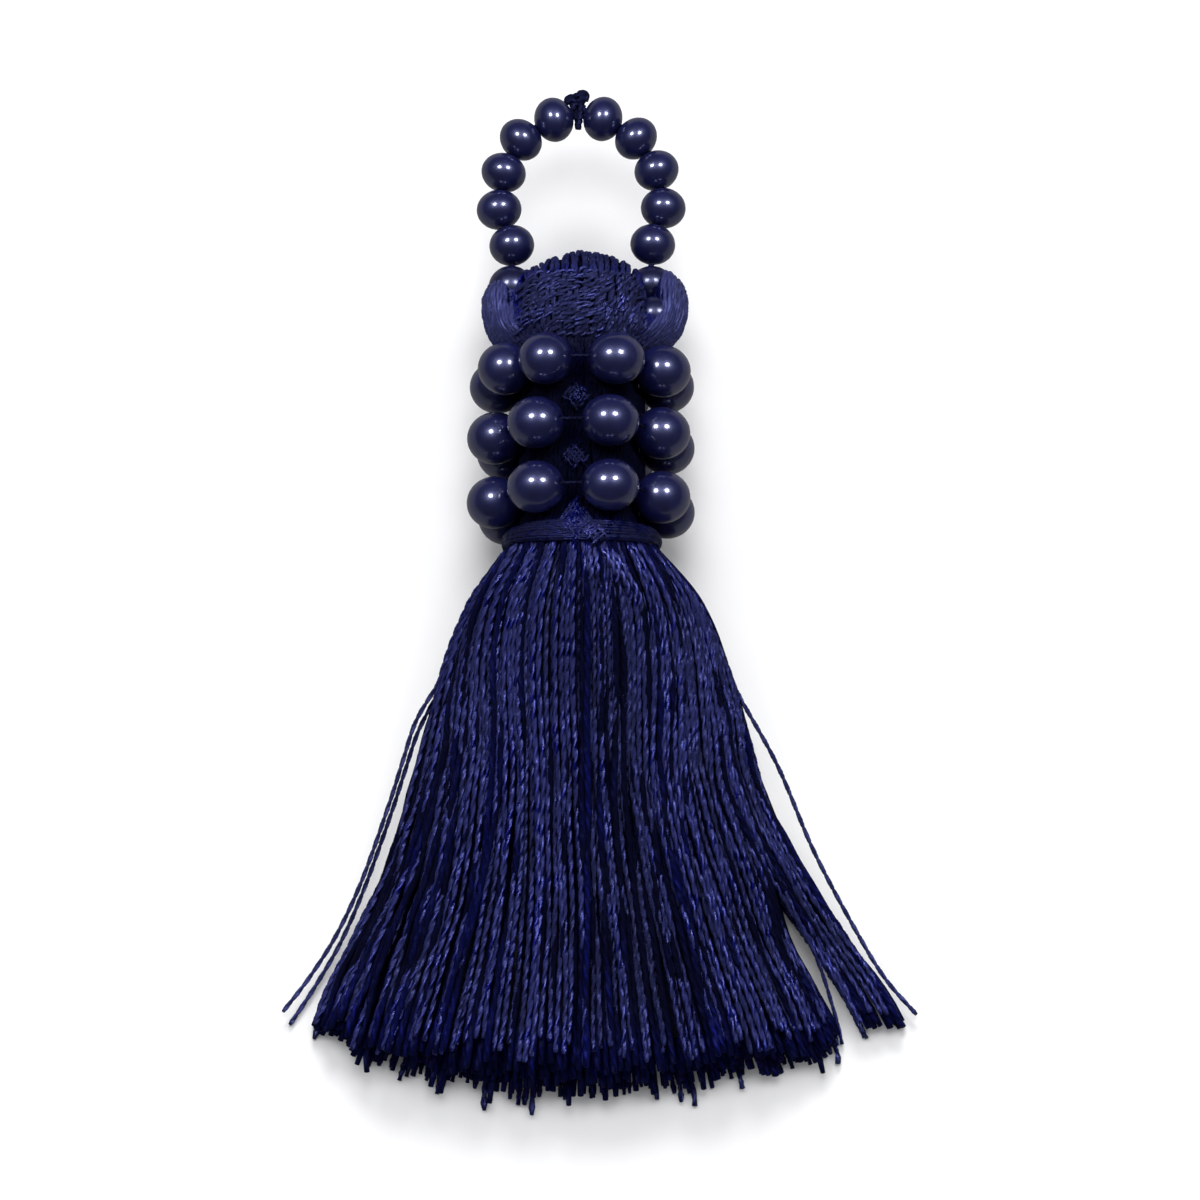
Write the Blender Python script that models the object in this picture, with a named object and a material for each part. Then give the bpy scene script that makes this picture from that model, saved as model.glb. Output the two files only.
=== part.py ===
"""Beaded tassel lying on its back.

A folded hank of twisted yarn makes the head, the neck and the flared skirt.
A thread binding holds it below three rows of beads, and a loop of smaller
beads comes out of the head. The loop points to +Y, the cut ends to -Y, and
the underside of the skirt and the lowest beads rest on z = 0.
All tables are in millimetres and degrees.
"""

import math

import bmesh
import bpy
from mathutils import Matrix, Vector

MM = 0.001
GAP = 0.30  # clearance between neighbouring pieces

# --- driving dimensions ------------------------------------------------
SHIFT_X = -1.648  # from the tassel's axis to the middle of the whole piece
SHIFT_Y = 1.052

ROW_BEAD_R = 2.45  # beads of the three rows
ROW_RING_R = 7.90  # centre of a row bead to the axis
LOOP_BEAD_R = 1.975  # beads of the hanging loop
LOOP_BEAD_HALF = 1.42  # half length along the thread
BORE_R = 0.52
THREAD_R = 0.18

BINDING_Y = (1.30, 3.50)
BINDING_R = (6.50, 7.30)
NECK_R = 6.70  # yarn between two rows
UNDER_BINDING_R = 6.20

HEAD_WIDE_Y = 24.3  # where the head is widest
HEAD_RX = 9.35
HEAD_RZ = 8.20
HEAD_SHIFT_X = 0.30
CREASE_X = 6.30  # the loop's two sides lie in creases of the head
CREASE_W = 1.55
CREASE_TOP = 0.76
CREASE_UNDER = 0.35

SKIRT_TOP_Y = 1.00
SKIRT_TOP_R = 6.90
UPPER_SHORT = 2.0  # the upper yarns end this much before the lower ones

YARN_R = 0.26

# Rows of beads: place along the axis and the angle of each bead from the top
BEAD_ROWS = [
    {"name": "row1", "y": 18.10, "angles": (-60, -24, 23, 67, 105, 154, 204, 254)},
    {"name": "row2", "y": 12.30, "angles": (-79, -31, 19, 66, 104, 150, 196, 241)},
    {"name": "row3", "y": 6.35, "angles": (-80, -31, 19, 66, 104, 149, 194, 239)},
]

# Loop beads from the top down each side: centre of each bead
LOOP_LEFT = [
    # x, y, z
    (-2.52, 42.72, 9.80),
    (-5.50, 40.80, 9.90),
    (-7.05, 37.65, 10.05),
    (-7.45, 34.10, 10.25),
    (-6.30, 30.65, 10.55),
    (-6.35, 26.60, 10.95),
]
LOOP_RIGHT = [
    # x, y, z
    (1.91, 42.80, 9.80),
    (4.90, 40.92, 9.90),
    (6.75, 37.85, 10.05),
    (7.35, 34.25, 10.25),
    (6.40, 30.75, 10.55),
    (6.28, 26.70, 10.95),
    (6.60, 23.45, 12.35),
]
LOOP_END_LEFT = (-6.20, 23.60, 10.90)  # thread ends inside the head
LOOP_END_RIGHT = (6.55, 21.35, 12.00)

# Outline of the head's fold seen from above
FOLD = [
    # x, y
    (-9.2, 24.5),
    (-8.7, 25.0),
    (-8.0, 25.9),
    (-7.2, 27.2),
    (-6.3, 27.7),
    (-5.0, 28.2),
    (-3.6, 28.8),
    (-2.0, 29.5),
    (0.0, 29.9),
    (2.0, 29.6),
    (3.6, 29.0),
    (5.0, 28.4),
    (6.3, 28.0),
    (7.6, 28.5),
    (8.8, 27.4),
    (9.7, 25.0),
]

# Skirt: share of the way down, half widths to either side, heights of the
# upper face, of the side edge and of the underside
SKIRT = [
    # s, left, right, top, side, under
    (0.00, 6.90, 6.90, 16.95, 10.05, 3.15),
    (0.04, 8.80, 8.90, 16.80, 9.60, 1.90),
    (0.10, 10.90, 11.20, 16.00, 8.20, 0.70),
    (0.20, 12.80, 12.95, 14.20, 5.60, 0.00),
    (0.32, 14.10, 14.75, 12.30, 3.60, 0.00),
    (0.45, 15.50, 16.80, 10.60, 2.50, 0.00),
    (0.58, 17.30, 19.20, 9.20, 1.90, 0.00),
    (0.70, 19.10, 21.60, 8.20, 1.50, 0.00),
    (0.80, 20.80, 23.70, 7.40, 1.20, 0.00),
    (0.90, 22.40, 26.00, 6.80, 1.00, 0.00),
    (1.00, 24.00, 28.70, 6.20, 0.90, 0.00),
]

# Lower edge of the skirt, between the locks' tips
HEM = [
    # x, y
    (-24.0, -40.3),
    (-15.8, -44.3),
    (-8.2, -46.1),
    (1.2, -47.1),
    (7.7, -46.4),
    (15.4, -44.6),
    (19.4, -43.8),
    (23.8, -42.8),
    (25.0, -40.6),
    (28.7, -39.9),
]

# Locks of yarn from left to right: share of the half width at the right side
# of the lock, extra length of its tip, depth of the notch after it and depth
# of the groove after it
LOCKS = [
    # right, tip, notch, groove
    (-0.870, -0.4, 1.8, 0.9),
    (-0.735, 0.5, 2.6, 1.1),
    (-0.600, -0.2, 1.6, 0.8),
    (-0.455, 0.4, 2.2, 1.2),
    (-0.300, 0.1, 1.5, 0.9),
    (-0.165, 1.2, 2.8, 1.3),
    (-0.020, -0.1, 1.6, 0.8),
    (0.120, 0.3, 2.4, 1.2),
    (0.255, -0.2, 1.7, 0.9),
    (0.400, 0.3, 2.9, 1.3),
    (0.530, -0.1, 1.5, 0.9),
    (0.660, 0.2, 2.3, 1.1),
    (0.800, 0.3, 1.2, 0.5),
    (0.835, -0.2, 11.5, 1.6),
    (0.866, -0.1, 0.7, 0.3),
    (1.000, 0.3, 0.0, 0.0),
]

# Yarns that stand off the skirt: points along each
STRAYS = {
    "stray_left_a": [
        # x, y, z
        (-14.85, -12.1, 4.75),
        (-16.00, -15.5, 4.05),
        (-17.25, -19.4, 3.30),
        (-19.60, -26.0, 2.30),
        (-21.90, -31.0, 1.75),
        (-24.35, -34.9, 1.35),
        (-26.70, -38.0, 1.15),
    ],
    "stray_left_b": [
        # x, y, z
        (-14.70, -12.9, 3.75),
        (-15.85, -16.3, 3.05),
        (-17.10, -20.1, 2.35),
        (-19.40, -26.5, 1.35),
        (-21.55, -31.5, 0.85),
        (-23.90, -35.6, 0.50),
        (-26.10, -39.0, 0.33),
    ],
    "stray_right": [
        # x, y, z
        (14.60, -8.2, 6.20),
        (17.85, -16.6, 4.20),
        (21.90, -24.9, 2.90),
        (26.00, -33.0, 1.70),
        (30.00, -38.2, 0.90),
    ],
}

MATERIALS = {
    "yarn": ((0.010, 0.010, 0.060), 0.45, 0.0),
    "binding": ((0.014, 0.014, 0.075), 0.32, 0.0),
    "bead": ((0.006, 0.006, 0.030), 0.16, 0.1),
    "thread": ((0.006, 0.006, 0.030), 0.40, 0.0),
}

SUNK = ("l6", "r6", "r7")  # loop beads that lie in the head's creases

# --- helpers -----------------------------------------------------------


def material(name):
    mat = bpy.data.materials.get(name)
    if mat is None:
        mat = bpy.data.materials.new(name)
        mat.use_nodes = True
        colour, rough, metal = MATERIALS[name]
        shader = mat.node_tree.nodes["Principled BSDF"]
        shader.inputs["Base Color"].default_value = (*colour, 1.0)
        shader.inputs["Roughness"].default_value = rough
        shader.inputs["Metallic"].default_value = metal
        mat.diffuse_color = (*colour, 1.0)
    return mat


def table(rows, column, at):
    """Value of a column of a table at a point of its first column."""
    if at <= rows[0][0]:
        return rows[0][column]
    for a, b in zip(rows, rows[1:]):
        if at <= b[0]:
            f = (at - a[0]) / (b[0] - a[0])
            return a[column] + (b[column] - a[column]) * f
    return rows[-1][column]


def mix(a, b, f):
    return a + (b - a) * f


def smooth(a, b, x):
    f = min(1.0, max(0.0, (x - a) / (b - a)))
    return f * f * (3 - 2 * f)


def add_object(name, mesh_or_curve, mat, round_piece=True):
    obj = bpy.data.objects.new(name, mesh_or_curve)
    bpy.context.scene.collection.objects.link(obj)
    mesh_or_curve.materials.append(material(mat))
    if round_piece and hasattr(mesh_or_curve, "shade_smooth"):
        mesh_or_curve.shade_smooth()
    return obj


def mesh_from(name, bm):
    bmesh.ops.recalc_face_normals(bm, faces=bm.faces[:])
    mesh = bpy.data.meshes.new(name)
    bm.to_mesh(mesh)
    bm.free()
    return mesh


def spun(name, profile, segments):
    """A closed (radius, along) profile turned about local X, first vertex on +Z."""
    bm = bmesh.new()
    rings = []
    for i in range(segments):
        a = 2 * math.pi * i / segments
        rings.append(
            [
                bm.verts.new((t * MM, r * math.sin(a) * MM, r * math.cos(a) * MM))
                for r, t in profile
            ]
        )
    for i, ring in enumerate(rings):
        after = rings[(i + 1) % segments]
        for j in range(len(profile)):
            k = (j + 1) % len(profile)
            bm.faces.new((ring[j], ring[k], after[k], after[j]))
    return mesh_from(name, bm)


def plug(name, profile, segments):
    """An open (radius, along) profile turned about local X and closed by its two end points."""
    bm = bmesh.new()
    first = bm.verts.new((profile[0][1] * MM, 0, 0))
    last = bm.verts.new((profile[-1][1] * MM, 0, 0))
    rings = []
    for r, t in profile[1:-1]:
        ring = []
        for i in range(segments):
            a = 2 * math.pi * i / segments
            ring.append(
                bm.verts.new((t * MM, r * math.sin(a) * MM, r * math.cos(a) * MM))
            )
        rings.append(ring)
    for i in range(segments):
        k = (i + 1) % segments
        bm.faces.new((first, rings[0][i], rings[0][k]))
        bm.faces.new((last, rings[-1][k], rings[-1][i]))
        for a, b in zip(rings, rings[1:]):
            bm.faces.new((a[i], b[i], b[k], a[k]))
    return mesh_from(name, bm)


def bead_profile(radius, half):
    """Round bead with flat ends and a bore, as (radius, along)."""
    cap = math.sqrt(max(radius * radius - half * half, 0.0))
    corner = (mix(cap, radius, 0.42), half * 0.80)
    side = (radius, half * 0.22)
    out = [(BORE_R, half), (cap * 0.80, half), corner, side]
    return out + [(r, -t) for r, t in reversed(out)]


def thread(name, points, radius, mat, cyclic=False, sides=1):
    curve = bpy.data.curves.new(name, "CURVE")
    curve.dimensions = "3D"
    curve.bevel_depth = radius * MM
    curve.bevel_resolution = sides
    curve.use_fill_caps = True
    curve.twist_mode = "MINIMUM"
    spline = curve.splines.new("POLY")
    spline.points.add(len(points) - 1)
    for p, co in zip(spline.points, points):
        p.co = (co[0] * MM, co[1] * MM, co[2] * MM, 1.0)
    spline.use_cyclic_u = cyclic
    obj = bpy.data.objects.new(name, curve)
    bpy.context.scene.collection.objects.link(obj)
    curve.materials.append(material(mat))
    return obj


def smooth_path(points, per_span):
    """Points read from a smooth curve through the given ones."""
    pts = [Vector(p) for p in points]
    pts = [pts[0] * 2 - pts[1]] + pts + [pts[-1] * 2 - pts[-2]]
    out = []
    for i in range(1, len(pts) - 2):
        a, b, c, d = pts[i - 1 : i + 3]
        for k in range(per_span):
            t = k / per_span
            out.append(
                0.5
                * (
                    2 * b
                    + (c - a) * t
                    + (2 * a - 5 * b + 4 * c - d) * t * t
                    + (3 * b - a - 3 * c + d) * t * t * t
                )
            )
    out.append(pts[-2])
    return out


# --- the frame ---------------------------------------------------------

for old in list(bpy.data.objects):
    bpy.data.objects.remove(old, do_unlink=True)

# Height of the axis: the lowest bead of the rows just rests on the surface
ROW_BEAD_REACH = ROW_BEAD_R * 1.0215  # its flat-faced outline turned a little
AXIS_Z = ROW_BEAD_REACH + max(
    -ROW_RING_R * math.cos(math.radians(a)) for row in BEAD_ROWS for a in row["angles"]
)

root = bpy.data.objects.new("tassel", None)
root.location = (SHIFT_X * MM, SHIFT_Y * MM, 0)
bpy.context.scene.collection.objects.link(root)


# --- yarn hank ---------------------------------------------------------


def groove_radius(y):
    """Radius of the neck, drawn in under each row of beads."""
    r = NECK_R
    reach = ROW_BEAD_R + GAP + 0.10
    for row in BEAD_ROWS:
        d = y - row["y"]
        if abs(d) < reach:
            r = min(r, ROW_RING_R - math.sqrt(reach * reach - d * d))
    return r


# columns from left to right: (share at the hem, extra tip, notch, groove, ridge)
columns = [{"w": -1.0, "tip": 0.0, "notch": 1.2, "groove": 0.0}]
left = -1.0
for right, tip, notch, groove in LOCKS:
    columns.append({"w": (left + right) / 2, "tip": tip, "notch": 0.0, "groove": 0.0})
    columns.append({"w": right, "tip": 0.0, "notch": notch, "groove": groove})
    left = right
columns[-1]["notch"] = 1.0
count = len(columns)
for i, column in enumerate(columns):
    column["phi"] = math.radians(-90 + 180 * i / (count - 1))


def skirt_point(column, s, upper):
    turn = smooth(0.0, 0.5, s)
    share = mix(math.sin(column["phi"]), column["w"], turn)
    hem_x = column["w"] * (24.0 if column["w"] < 0 else 28.7)
    hem_y = table(HEM, 1, hem_x) - column["tip"] + column["notch"]
    if upper and abs(column["w"]) < 1.0:
        hem_y += UPPER_SHORT
    full = SKIRT_TOP_Y - table(HEM, 1, hem_x)
    y = SKIRT_TOP_Y - (SKIRT_TOP_Y - hem_y) * s
    at = min(1.0, (SKIRT_TOP_Y - y) / full)
    x = share * table(SKIRT, 1 if share < 0 else 2, at)
    top, side, under = (table(SKIRT, c, at) for c in (3, 4, 5))
    round_share = math.cos(column["phi"])
    flat_share = math.sqrt(max(0.0, 1 - abs(column["w"]) ** 4))
    if abs(column["w"]) >= 1.0:
        return (x, y, side)
    if upper:
        z = side + (top - side) * mix(round_share, flat_share, turn)
        z -= column["groove"] * smooth(0.25, 1.0, at)
        return (x, y, max(z, 0.9))
    z = side - (side - under) * mix(round_share, 1.0, smooth(0.0, 0.2, s))
    return (x, y, z)


def head_point(column, y, rx, rz, rise, upper):
    """rise is 0 where the head is widest and 1 at the fold."""
    share = math.sin(column["phi"])
    x = share * rx + HEAD_SHIFT_X * smooth(19.5, HEAD_WIDE_Y, y)
    if rise > 0:
        y = HEAD_WIDE_Y + (table(FOLD, 1, x) - HEAD_WIDE_Y) * math.sin(
            rise * math.pi / 2
        )
        rz = rz * math.cos(rise * math.pi / 2)
    half = rz * math.cos(column["phi"])
    crease = math.exp(-(((abs(x) - CREASE_X) / CREASE_W) ** 2)) * smooth(
        21.3, 25.2, y
    )
    half *= 1 - (CREASE_TOP if upper else CREASE_UNDER) * crease
    return (x, y, AXIS_Z + (half if upper else -half))


sections = []  # each is (upper points, lower points), one per column
SKIRT_STATIONS = [1.0, 0.9, 0.8, 0.7, 0.58, 0.45, 0.32, 0.2, 0.1, 0.04, 0.0]
for s in SKIRT_STATIONS:
    sections.append(
        (
            [skirt_point(c, s, True) for c in columns],
            [skirt_point(c, s, False) for c in columns],
        )
    )

neck = [
    (SKIRT_TOP_Y + 0.02, UNDER_BINDING_R),
    (BINDING_Y[1] + GAP - 0.02, UNDER_BINDING_R),
    (BINDING_Y[1] + GAP, groove_radius(BINDING_Y[1] + GAP)),
]
rows_up = sorted(row["y"] for row in BEAD_ROWS)
for i, y in enumerate(rows_up):
    steps = [-2.15, -1.35, -0.45, 0.45, 1.35, 2.15]
    if i == len(rows_up) - 1:
        steps.append(2.62)
    neck += [(y + d, groove_radius(y + d)) for d in steps]
    if i < len(rows_up) - 1:
        middle = (y + rows_up[i + 1]) / 2
        neck.append((middle, groove_radius(middle)))
for y, r in neck:
    sections.append(
        (
            [head_point(c, y, r, r, 0, True) for c in columns],
            [head_point(c, y, r, r, 0, False) for c in columns],
        )
    )
for y, rx, rz, rise in [
    (21.05, 7.90, 7.30, 0.0),
    (21.55, 8.75, 7.80, 0.0),
    (22.70, 9.25, 8.15, 0.0),
    (HEAD_WIDE_Y, HEAD_RX, HEAD_RZ, 0.0),
    (HEAD_WIDE_Y, HEAD_RX, HEAD_RZ, 0.22),
    (HEAD_WIDE_Y, HEAD_RX, HEAD_RZ, 0.42),
    (HEAD_WIDE_Y, HEAD_RX, HEAD_RZ, 0.60),
    (HEAD_WIDE_Y, HEAD_RX, HEAD_RZ, 0.78),
    (HEAD_WIDE_Y, HEAD_RX, HEAD_RZ, 0.91),
]:
    sections.append(
        (
            [head_point(c, y, rx, rz, rise, True) for c in columns],
            [head_point(c, y, rx, rz, rise, False) for c in columns],
        )
    )

bm = bmesh.new()
grid = []
for upper, lower in sections:
    ups = [bm.verts.new(Vector(p) * MM) for p in upper]
    downs = [ups[0]]
    downs += [bm.verts.new(Vector(p) * MM) for p in lower[1:-1]]
    downs.append(ups[-1])
    grid.append((ups, downs))
fold = [
    bm.verts.new(Vector(head_point(c, HEAD_WIDE_Y, HEAD_RX, 0.0, 1.0, True)) * MM)
    for c in columns
]
grid.append((fold, fold))
for (ua, da), (ub, db) in zip(grid, grid[1:]):
    for i in range(count - 1):
        bm.faces.new((ua[i], ua[i + 1], ub[i + 1], ub[i]))
        bm.faces.new((da[i + 1], da[i], db[i], db[i + 1]))
ups, downs = grid[0]
for i in range(count - 1):
    corners = [ups[i], downs[i], downs[i + 1], ups[i + 1]]
    unique = []
    for v in corners:
        if v not in unique:
            unique.append(v)
    bm.faces.new(unique)
bmesh.ops.triangulate(bm, faces=bm.faces[:])
hank = add_object("yarn_hank", mesh_from("yarn_hank", bm), "yarn")
hank.parent = root

# --- binding -----------------------------------------------------------

b_mid = sum(BINDING_Y) / 2
b_half = (BINDING_Y[1] - BINDING_Y[0]) / 2
binding_profile = [
    (BINDING_R[0], b_half),
    (BINDING_R[1] - 0.35, b_half),
    (BINDING_R[1], b_half * 0.62),
    (BINDING_R[1], -b_half * 0.62),
    (BINDING_R[1] - 0.35, -b_half),
    (BINDING_R[0], -b_half),
]
binding = add_object("binding", spun("binding", binding_profile, 44), "binding")
binding.parent = root
binding.rotation_euler = (0, 0, math.radians(90))
binding.location = (0, b_mid * MM, AXIS_Z * MM)

# --- rows of beads -----------------------------------------------------

row_bead = spun("row_bead", bead_profile(ROW_BEAD_R, ROW_BEAD_R * 0.95), 12)
for row in BEAD_ROWS:
    angles = row["angles"]
    for i, angle in enumerate(angles):
        a = math.radians(angle)
        obj = add_object(f"{row['name']}_bead_{i + 1}", row_bead.copy(), "bead")
        obj.parent = root
        obj.rotation_euler = (0, a, 0)
        obj.location = (
            ROW_RING_R * math.sin(a) * MM,
            row["y"] * MM,
            (AXIS_Z + ROW_RING_R * math.cos(a)) * MM,
        )
    points = []
    for i, angle in enumerate(angles):
        after = angles[(i + 1) % len(angles)]
        if i == len(angles) - 1:
            after += 360
        half = math.radians(after - angle) / 2
        centre = math.radians(angle) + half
        reach = ROW_RING_R * math.tan(half) - 0.45
        for a, along in ((math.radians(angle), reach), (math.radians(after), -reach)):
            points.append(
                (
                    ROW_RING_R * math.sin(a) + along * math.cos(a),
                    row["y"],
                    AXIS_Z + ROW_RING_R * math.cos(a) - along * math.sin(a),
                )
            )
    thread(f"{row['name']}_thread", points, THREAD_R, "thread", cyclic=True).parent = (
        root
    )

# --- hanging loop ------------------------------------------------------

path = (
    [LOOP_END_LEFT] + LOOP_LEFT[::-1] + LOOP_RIGHT + [LOOP_END_RIGHT]
)
names = [f"loop_bead_l{i}" for i in range(len(LOOP_LEFT), 0, -1)] + [
    f"loop_bead_r{i + 1}" for i in range(len(LOOP_RIGHT))
]
loop_bead = spun("loop_bead", bead_profile(LOOP_BEAD_R, LOOP_BEAD_HALF), 12)
# a bead's place in the head, open upward: (radius, height from its centre)
slot_r = LOOP_BEAD_R + GAP
slot_profile = [
    (0, 9.0),
    (slot_r, 9.0),
    (slot_r, 0.0),
    (slot_r * 0.87, -slot_r * 0.5),
    (slot_r * 0.5, -slot_r * 0.87),
    (0, -slot_r),
]
line = [Vector(path[0])]
cutters = []
for i, name in enumerate(names):
    at = Vector(path[i + 1])
    way = (Vector(path[i + 2]) - Vector(path[i])).normalized()
    turn = way.to_track_quat("X", "Z")
    obj = add_object(name, loop_bead.copy(), "bead")
    obj.parent = root
    obj.rotation_mode = "QUATERNION"
    obj.rotation_quaternion = turn
    obj.location = at * MM
    line += [at - way * LOOP_BEAD_HALF, at + way * LOOP_BEAD_HALF]
    if name[-2:] in SUNK:
        cut = bpy.data.objects.new(name + "_slot", plug(name + "_slot", slot_profile, 16))
        bpy.context.scene.collection.objects.link(cut)
        cut.parent = root
        cut.rotation_euler = (0, math.radians(-90), 0)
        cut.location = at * MM
        cutters.append(cut)
line.append(Vector(path[-1]))
thread("loop_thread", line, THREAD_R, "thread").parent = root

# channels that the thread runs through in the head
for name, a, b in (
    ("channel_left", LOOP_LEFT[-1], LOOP_END_LEFT),
    ("channel_right", LOOP_RIGHT[-1], LOOP_END_RIGHT),
):
    a, b = Vector(a), Vector(b)
    way = (b - a).normalized()
    far = (b - a).length + GAP + 0.05
    r = THREAD_R + GAP + 0.05
    cut = bpy.data.objects.new(
        name, plug(name, [(0, 0), (r, 0), (r, far), (0, far)][::-1], 8)
    )
    bpy.context.scene.collection.objects.link(cut)
    cut.parent = root
    cut.rotation_mode = "QUATERNION"
    cut.rotation_quaternion = way.to_track_quat("X", "Z")
    cut.location = a * MM
    cutters.append(cut)

for cut in cutters:
    cut.hide_render = True
    cut.display_type = "WIRE"
    bore = hank.modifiers.new(cut.name, "BOOLEAN")
    bore.operation = "DIFFERENCE"
    bore.object = cut

# --- knot between the two top beads ------------------------------------

knot_profile = [(0, 1.15), (0.34, 1.02), (0.56, 0.55), (0.62, 0.0), (0.52, -0.6), (0.26, -1.0), (0, -1.1)]
knot = add_object("loop_knot", plug("loop_knot", knot_profile, 10), "thread")
knot.parent = root
knot.rotation_euler = (0, math.radians(-8), math.radians(17))
knot.location = (-0.35 * MM, 44.80 * MM, 9.30 * MM)

# --- stray yarns -------------------------------------------------------

for name, points in STRAYS.items():
    thread(name, smooth_path(points, 3), YARN_R, "yarn").parent = root
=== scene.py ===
"""Looks of the beaded tassel: twisted yarns, wound binding, pearl beads and their threads.

All tables are in millimetres and degrees, about the tassel's own axis, as in
the CAD source. `place` turns them into the row frame, in metres.
"""

import math

import bpy
import numpy as np
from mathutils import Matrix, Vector


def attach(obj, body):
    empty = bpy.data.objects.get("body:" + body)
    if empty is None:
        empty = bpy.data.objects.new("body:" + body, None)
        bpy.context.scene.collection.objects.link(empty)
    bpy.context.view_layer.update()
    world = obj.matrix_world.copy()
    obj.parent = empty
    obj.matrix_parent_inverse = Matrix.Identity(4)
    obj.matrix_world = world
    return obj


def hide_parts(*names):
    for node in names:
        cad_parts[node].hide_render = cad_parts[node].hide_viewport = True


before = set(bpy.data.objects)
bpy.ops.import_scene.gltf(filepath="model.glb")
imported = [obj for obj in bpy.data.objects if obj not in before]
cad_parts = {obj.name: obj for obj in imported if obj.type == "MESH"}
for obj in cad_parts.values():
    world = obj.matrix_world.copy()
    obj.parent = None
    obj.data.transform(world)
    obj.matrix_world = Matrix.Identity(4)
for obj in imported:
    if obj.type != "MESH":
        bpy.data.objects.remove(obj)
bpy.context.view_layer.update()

# --- dimensions shared with the CAD --------------------------------------
SHIFT_X = -1.648
SHIFT_Y = 1.052

ROW_BEAD_R = 2.45
ROW_RING_R = 7.90
LOOP_BEAD_R = 1.975
LOOP_BEAD_LOOKS_R = 2.03
ROW_BEAD_LOOKS_R = 2.49
GAP = 0.30

BINDING_Y = (1.30, 3.50)
BINDING_R = (6.50, 7.30)
NECK_R = 5.80
UNDER_BINDING_R = 6.20

HEAD_WIDE_Y = 24.3
HEAD_RX = 9.35
HEAD_RZ = 8.20
HEAD_SHIFT_X = 0.30
CREASE_X = 6.30
CREASE_W = 1.28
CREASE_TOP = (0.50, 0.70)  # left, right
CREASE_UNDER = 0.35

SKIRT_TOP_Y = 1.00
SIDE_RISE = 0.95  # the binding and the skirt under it sit higher at the sides
UPPER_SHORT = 2.0

BEAD_ROWS = [
    {"name": "row1", "y": 18.10, "angles": (-60, -24, 23, 67, 105, 154, 204, 254)},
    {"name": "row2", "y": 12.30, "angles": (-79, -31, 19, 66, 104, 150, 196, 241)},
    {"name": "row3", "y": 6.35, "angles": (-80, -31, 19, 66, 104, 149, 194, 239)},
]
LOOP_LEFT = [
    (-2.52, 42.72, 9.80),
    (-5.50, 40.80, 9.90),
    (-7.05, 37.65, 10.05),
    (-7.45, 34.10, 10.25),
    (-6.30, 30.65, 10.55),
    (-6.35, 26.60, 10.95),
]
LOOP_RIGHT = [
    (1.91, 42.80, 9.80),
    (4.90, 40.92, 9.90),
    (6.75, 37.85, 10.05),
    (7.35, 34.25, 10.25),
    (6.40, 30.75, 10.55),
    (6.28, 26.70, 10.95),
    (6.60, 23.45, 12.35),
]
LOOP_END_LEFT = (-6.20, 23.60, 10.90)
LOOP_END_RIGHT = (6.55, 21.35, 12.00)

FOLD = np.array(
    [
        (-9.3, 24.7),
        (-9.05, 25.7),
        (-8.5, 26.9),
        (-7.6, 27.8),
        (-6.5, 28.1),
        (-5.0, 28.2),
        (-3.6, 28.8),
        (-2.0, 29.5),
        (0.0, 29.9),
        (2.0, 29.6),
        (3.6, 29.0),
        (5.0, 28.3),
        (6.3, 28.1),
        (7.6, 28.3),
        (8.8, 27.6),
        (9.5, 26.3),
        (9.85, 24.9),
    ]
)
SKIRT = np.array(
    [
        # s, left, right, top, side, under
        (0.00, 7.10, 7.10, 17.10, 10.05, 3.00),
        (0.04, 8.45, 8.70, 16.90, 9.60, 1.80),
        (0.10, 10.45, 10.95, 16.05, 8.20, 0.65),
        (0.20, 12.40, 13.15, 14.25, 5.60, 0.00),
        (0.32, 13.85, 14.85, 12.35, 3.60, 0.00),
        (0.45, 15.35, 16.20, 10.65, 2.50, 0.00),
        (0.58, 17.00, 18.40, 9.25, 1.90, 0.00),
        (0.70, 19.00, 21.20, 8.25, 1.50, 0.00),
        (0.80, 21.10, 23.85, 7.45, 1.20, 0.00),
        (0.90, 23.05, 26.80, 6.85, 1.00, 0.00),
        (1.00, 24.75, 29.20, 6.25, 0.90, 0.00),
    ]
)
HEM = np.array(
    [
        (-24.0, -40.3),
        (-15.8, -44.0),
        (-8.2, -45.9),
        (1.2, -47.0),
        (7.7, -46.2),
        (15.4, -44.4),
        (19.4, -43.6),
        (23.1, -42.5),
        (24.4, -40.6),
        (28.7, -39.7),
    ]
)
LOCKS = np.array(
    [
        # right, tip, notch, groove
        (-0.870, -0.4, 1.8, 0.9),
        (-0.735, 0.5, 2.6, 1.1),
        (-0.600, -0.2, 1.6, 0.8),
        (-0.455, 0.4, 2.2, 1.2),
        (-0.300, 0.1, 1.5, 0.9),
        (-0.165, 1.2, 2.8, 1.3),
        (-0.020, -0.1, 1.6, 0.8),
        (0.120, 0.3, 2.4, 1.2),
        (0.255, -0.2, 1.7, 0.9),
        (0.400, 0.3, 2.9, 1.3),
        (0.530, -0.1, 1.5, 0.9),
        (0.660, 0.2, 2.3, 1.1),
        (0.835, 0.1, 1.5, 1.2),
        (1.000, 0.2, 1.0, 0.5),
    ]
)
SLIT_W = 0.835

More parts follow.
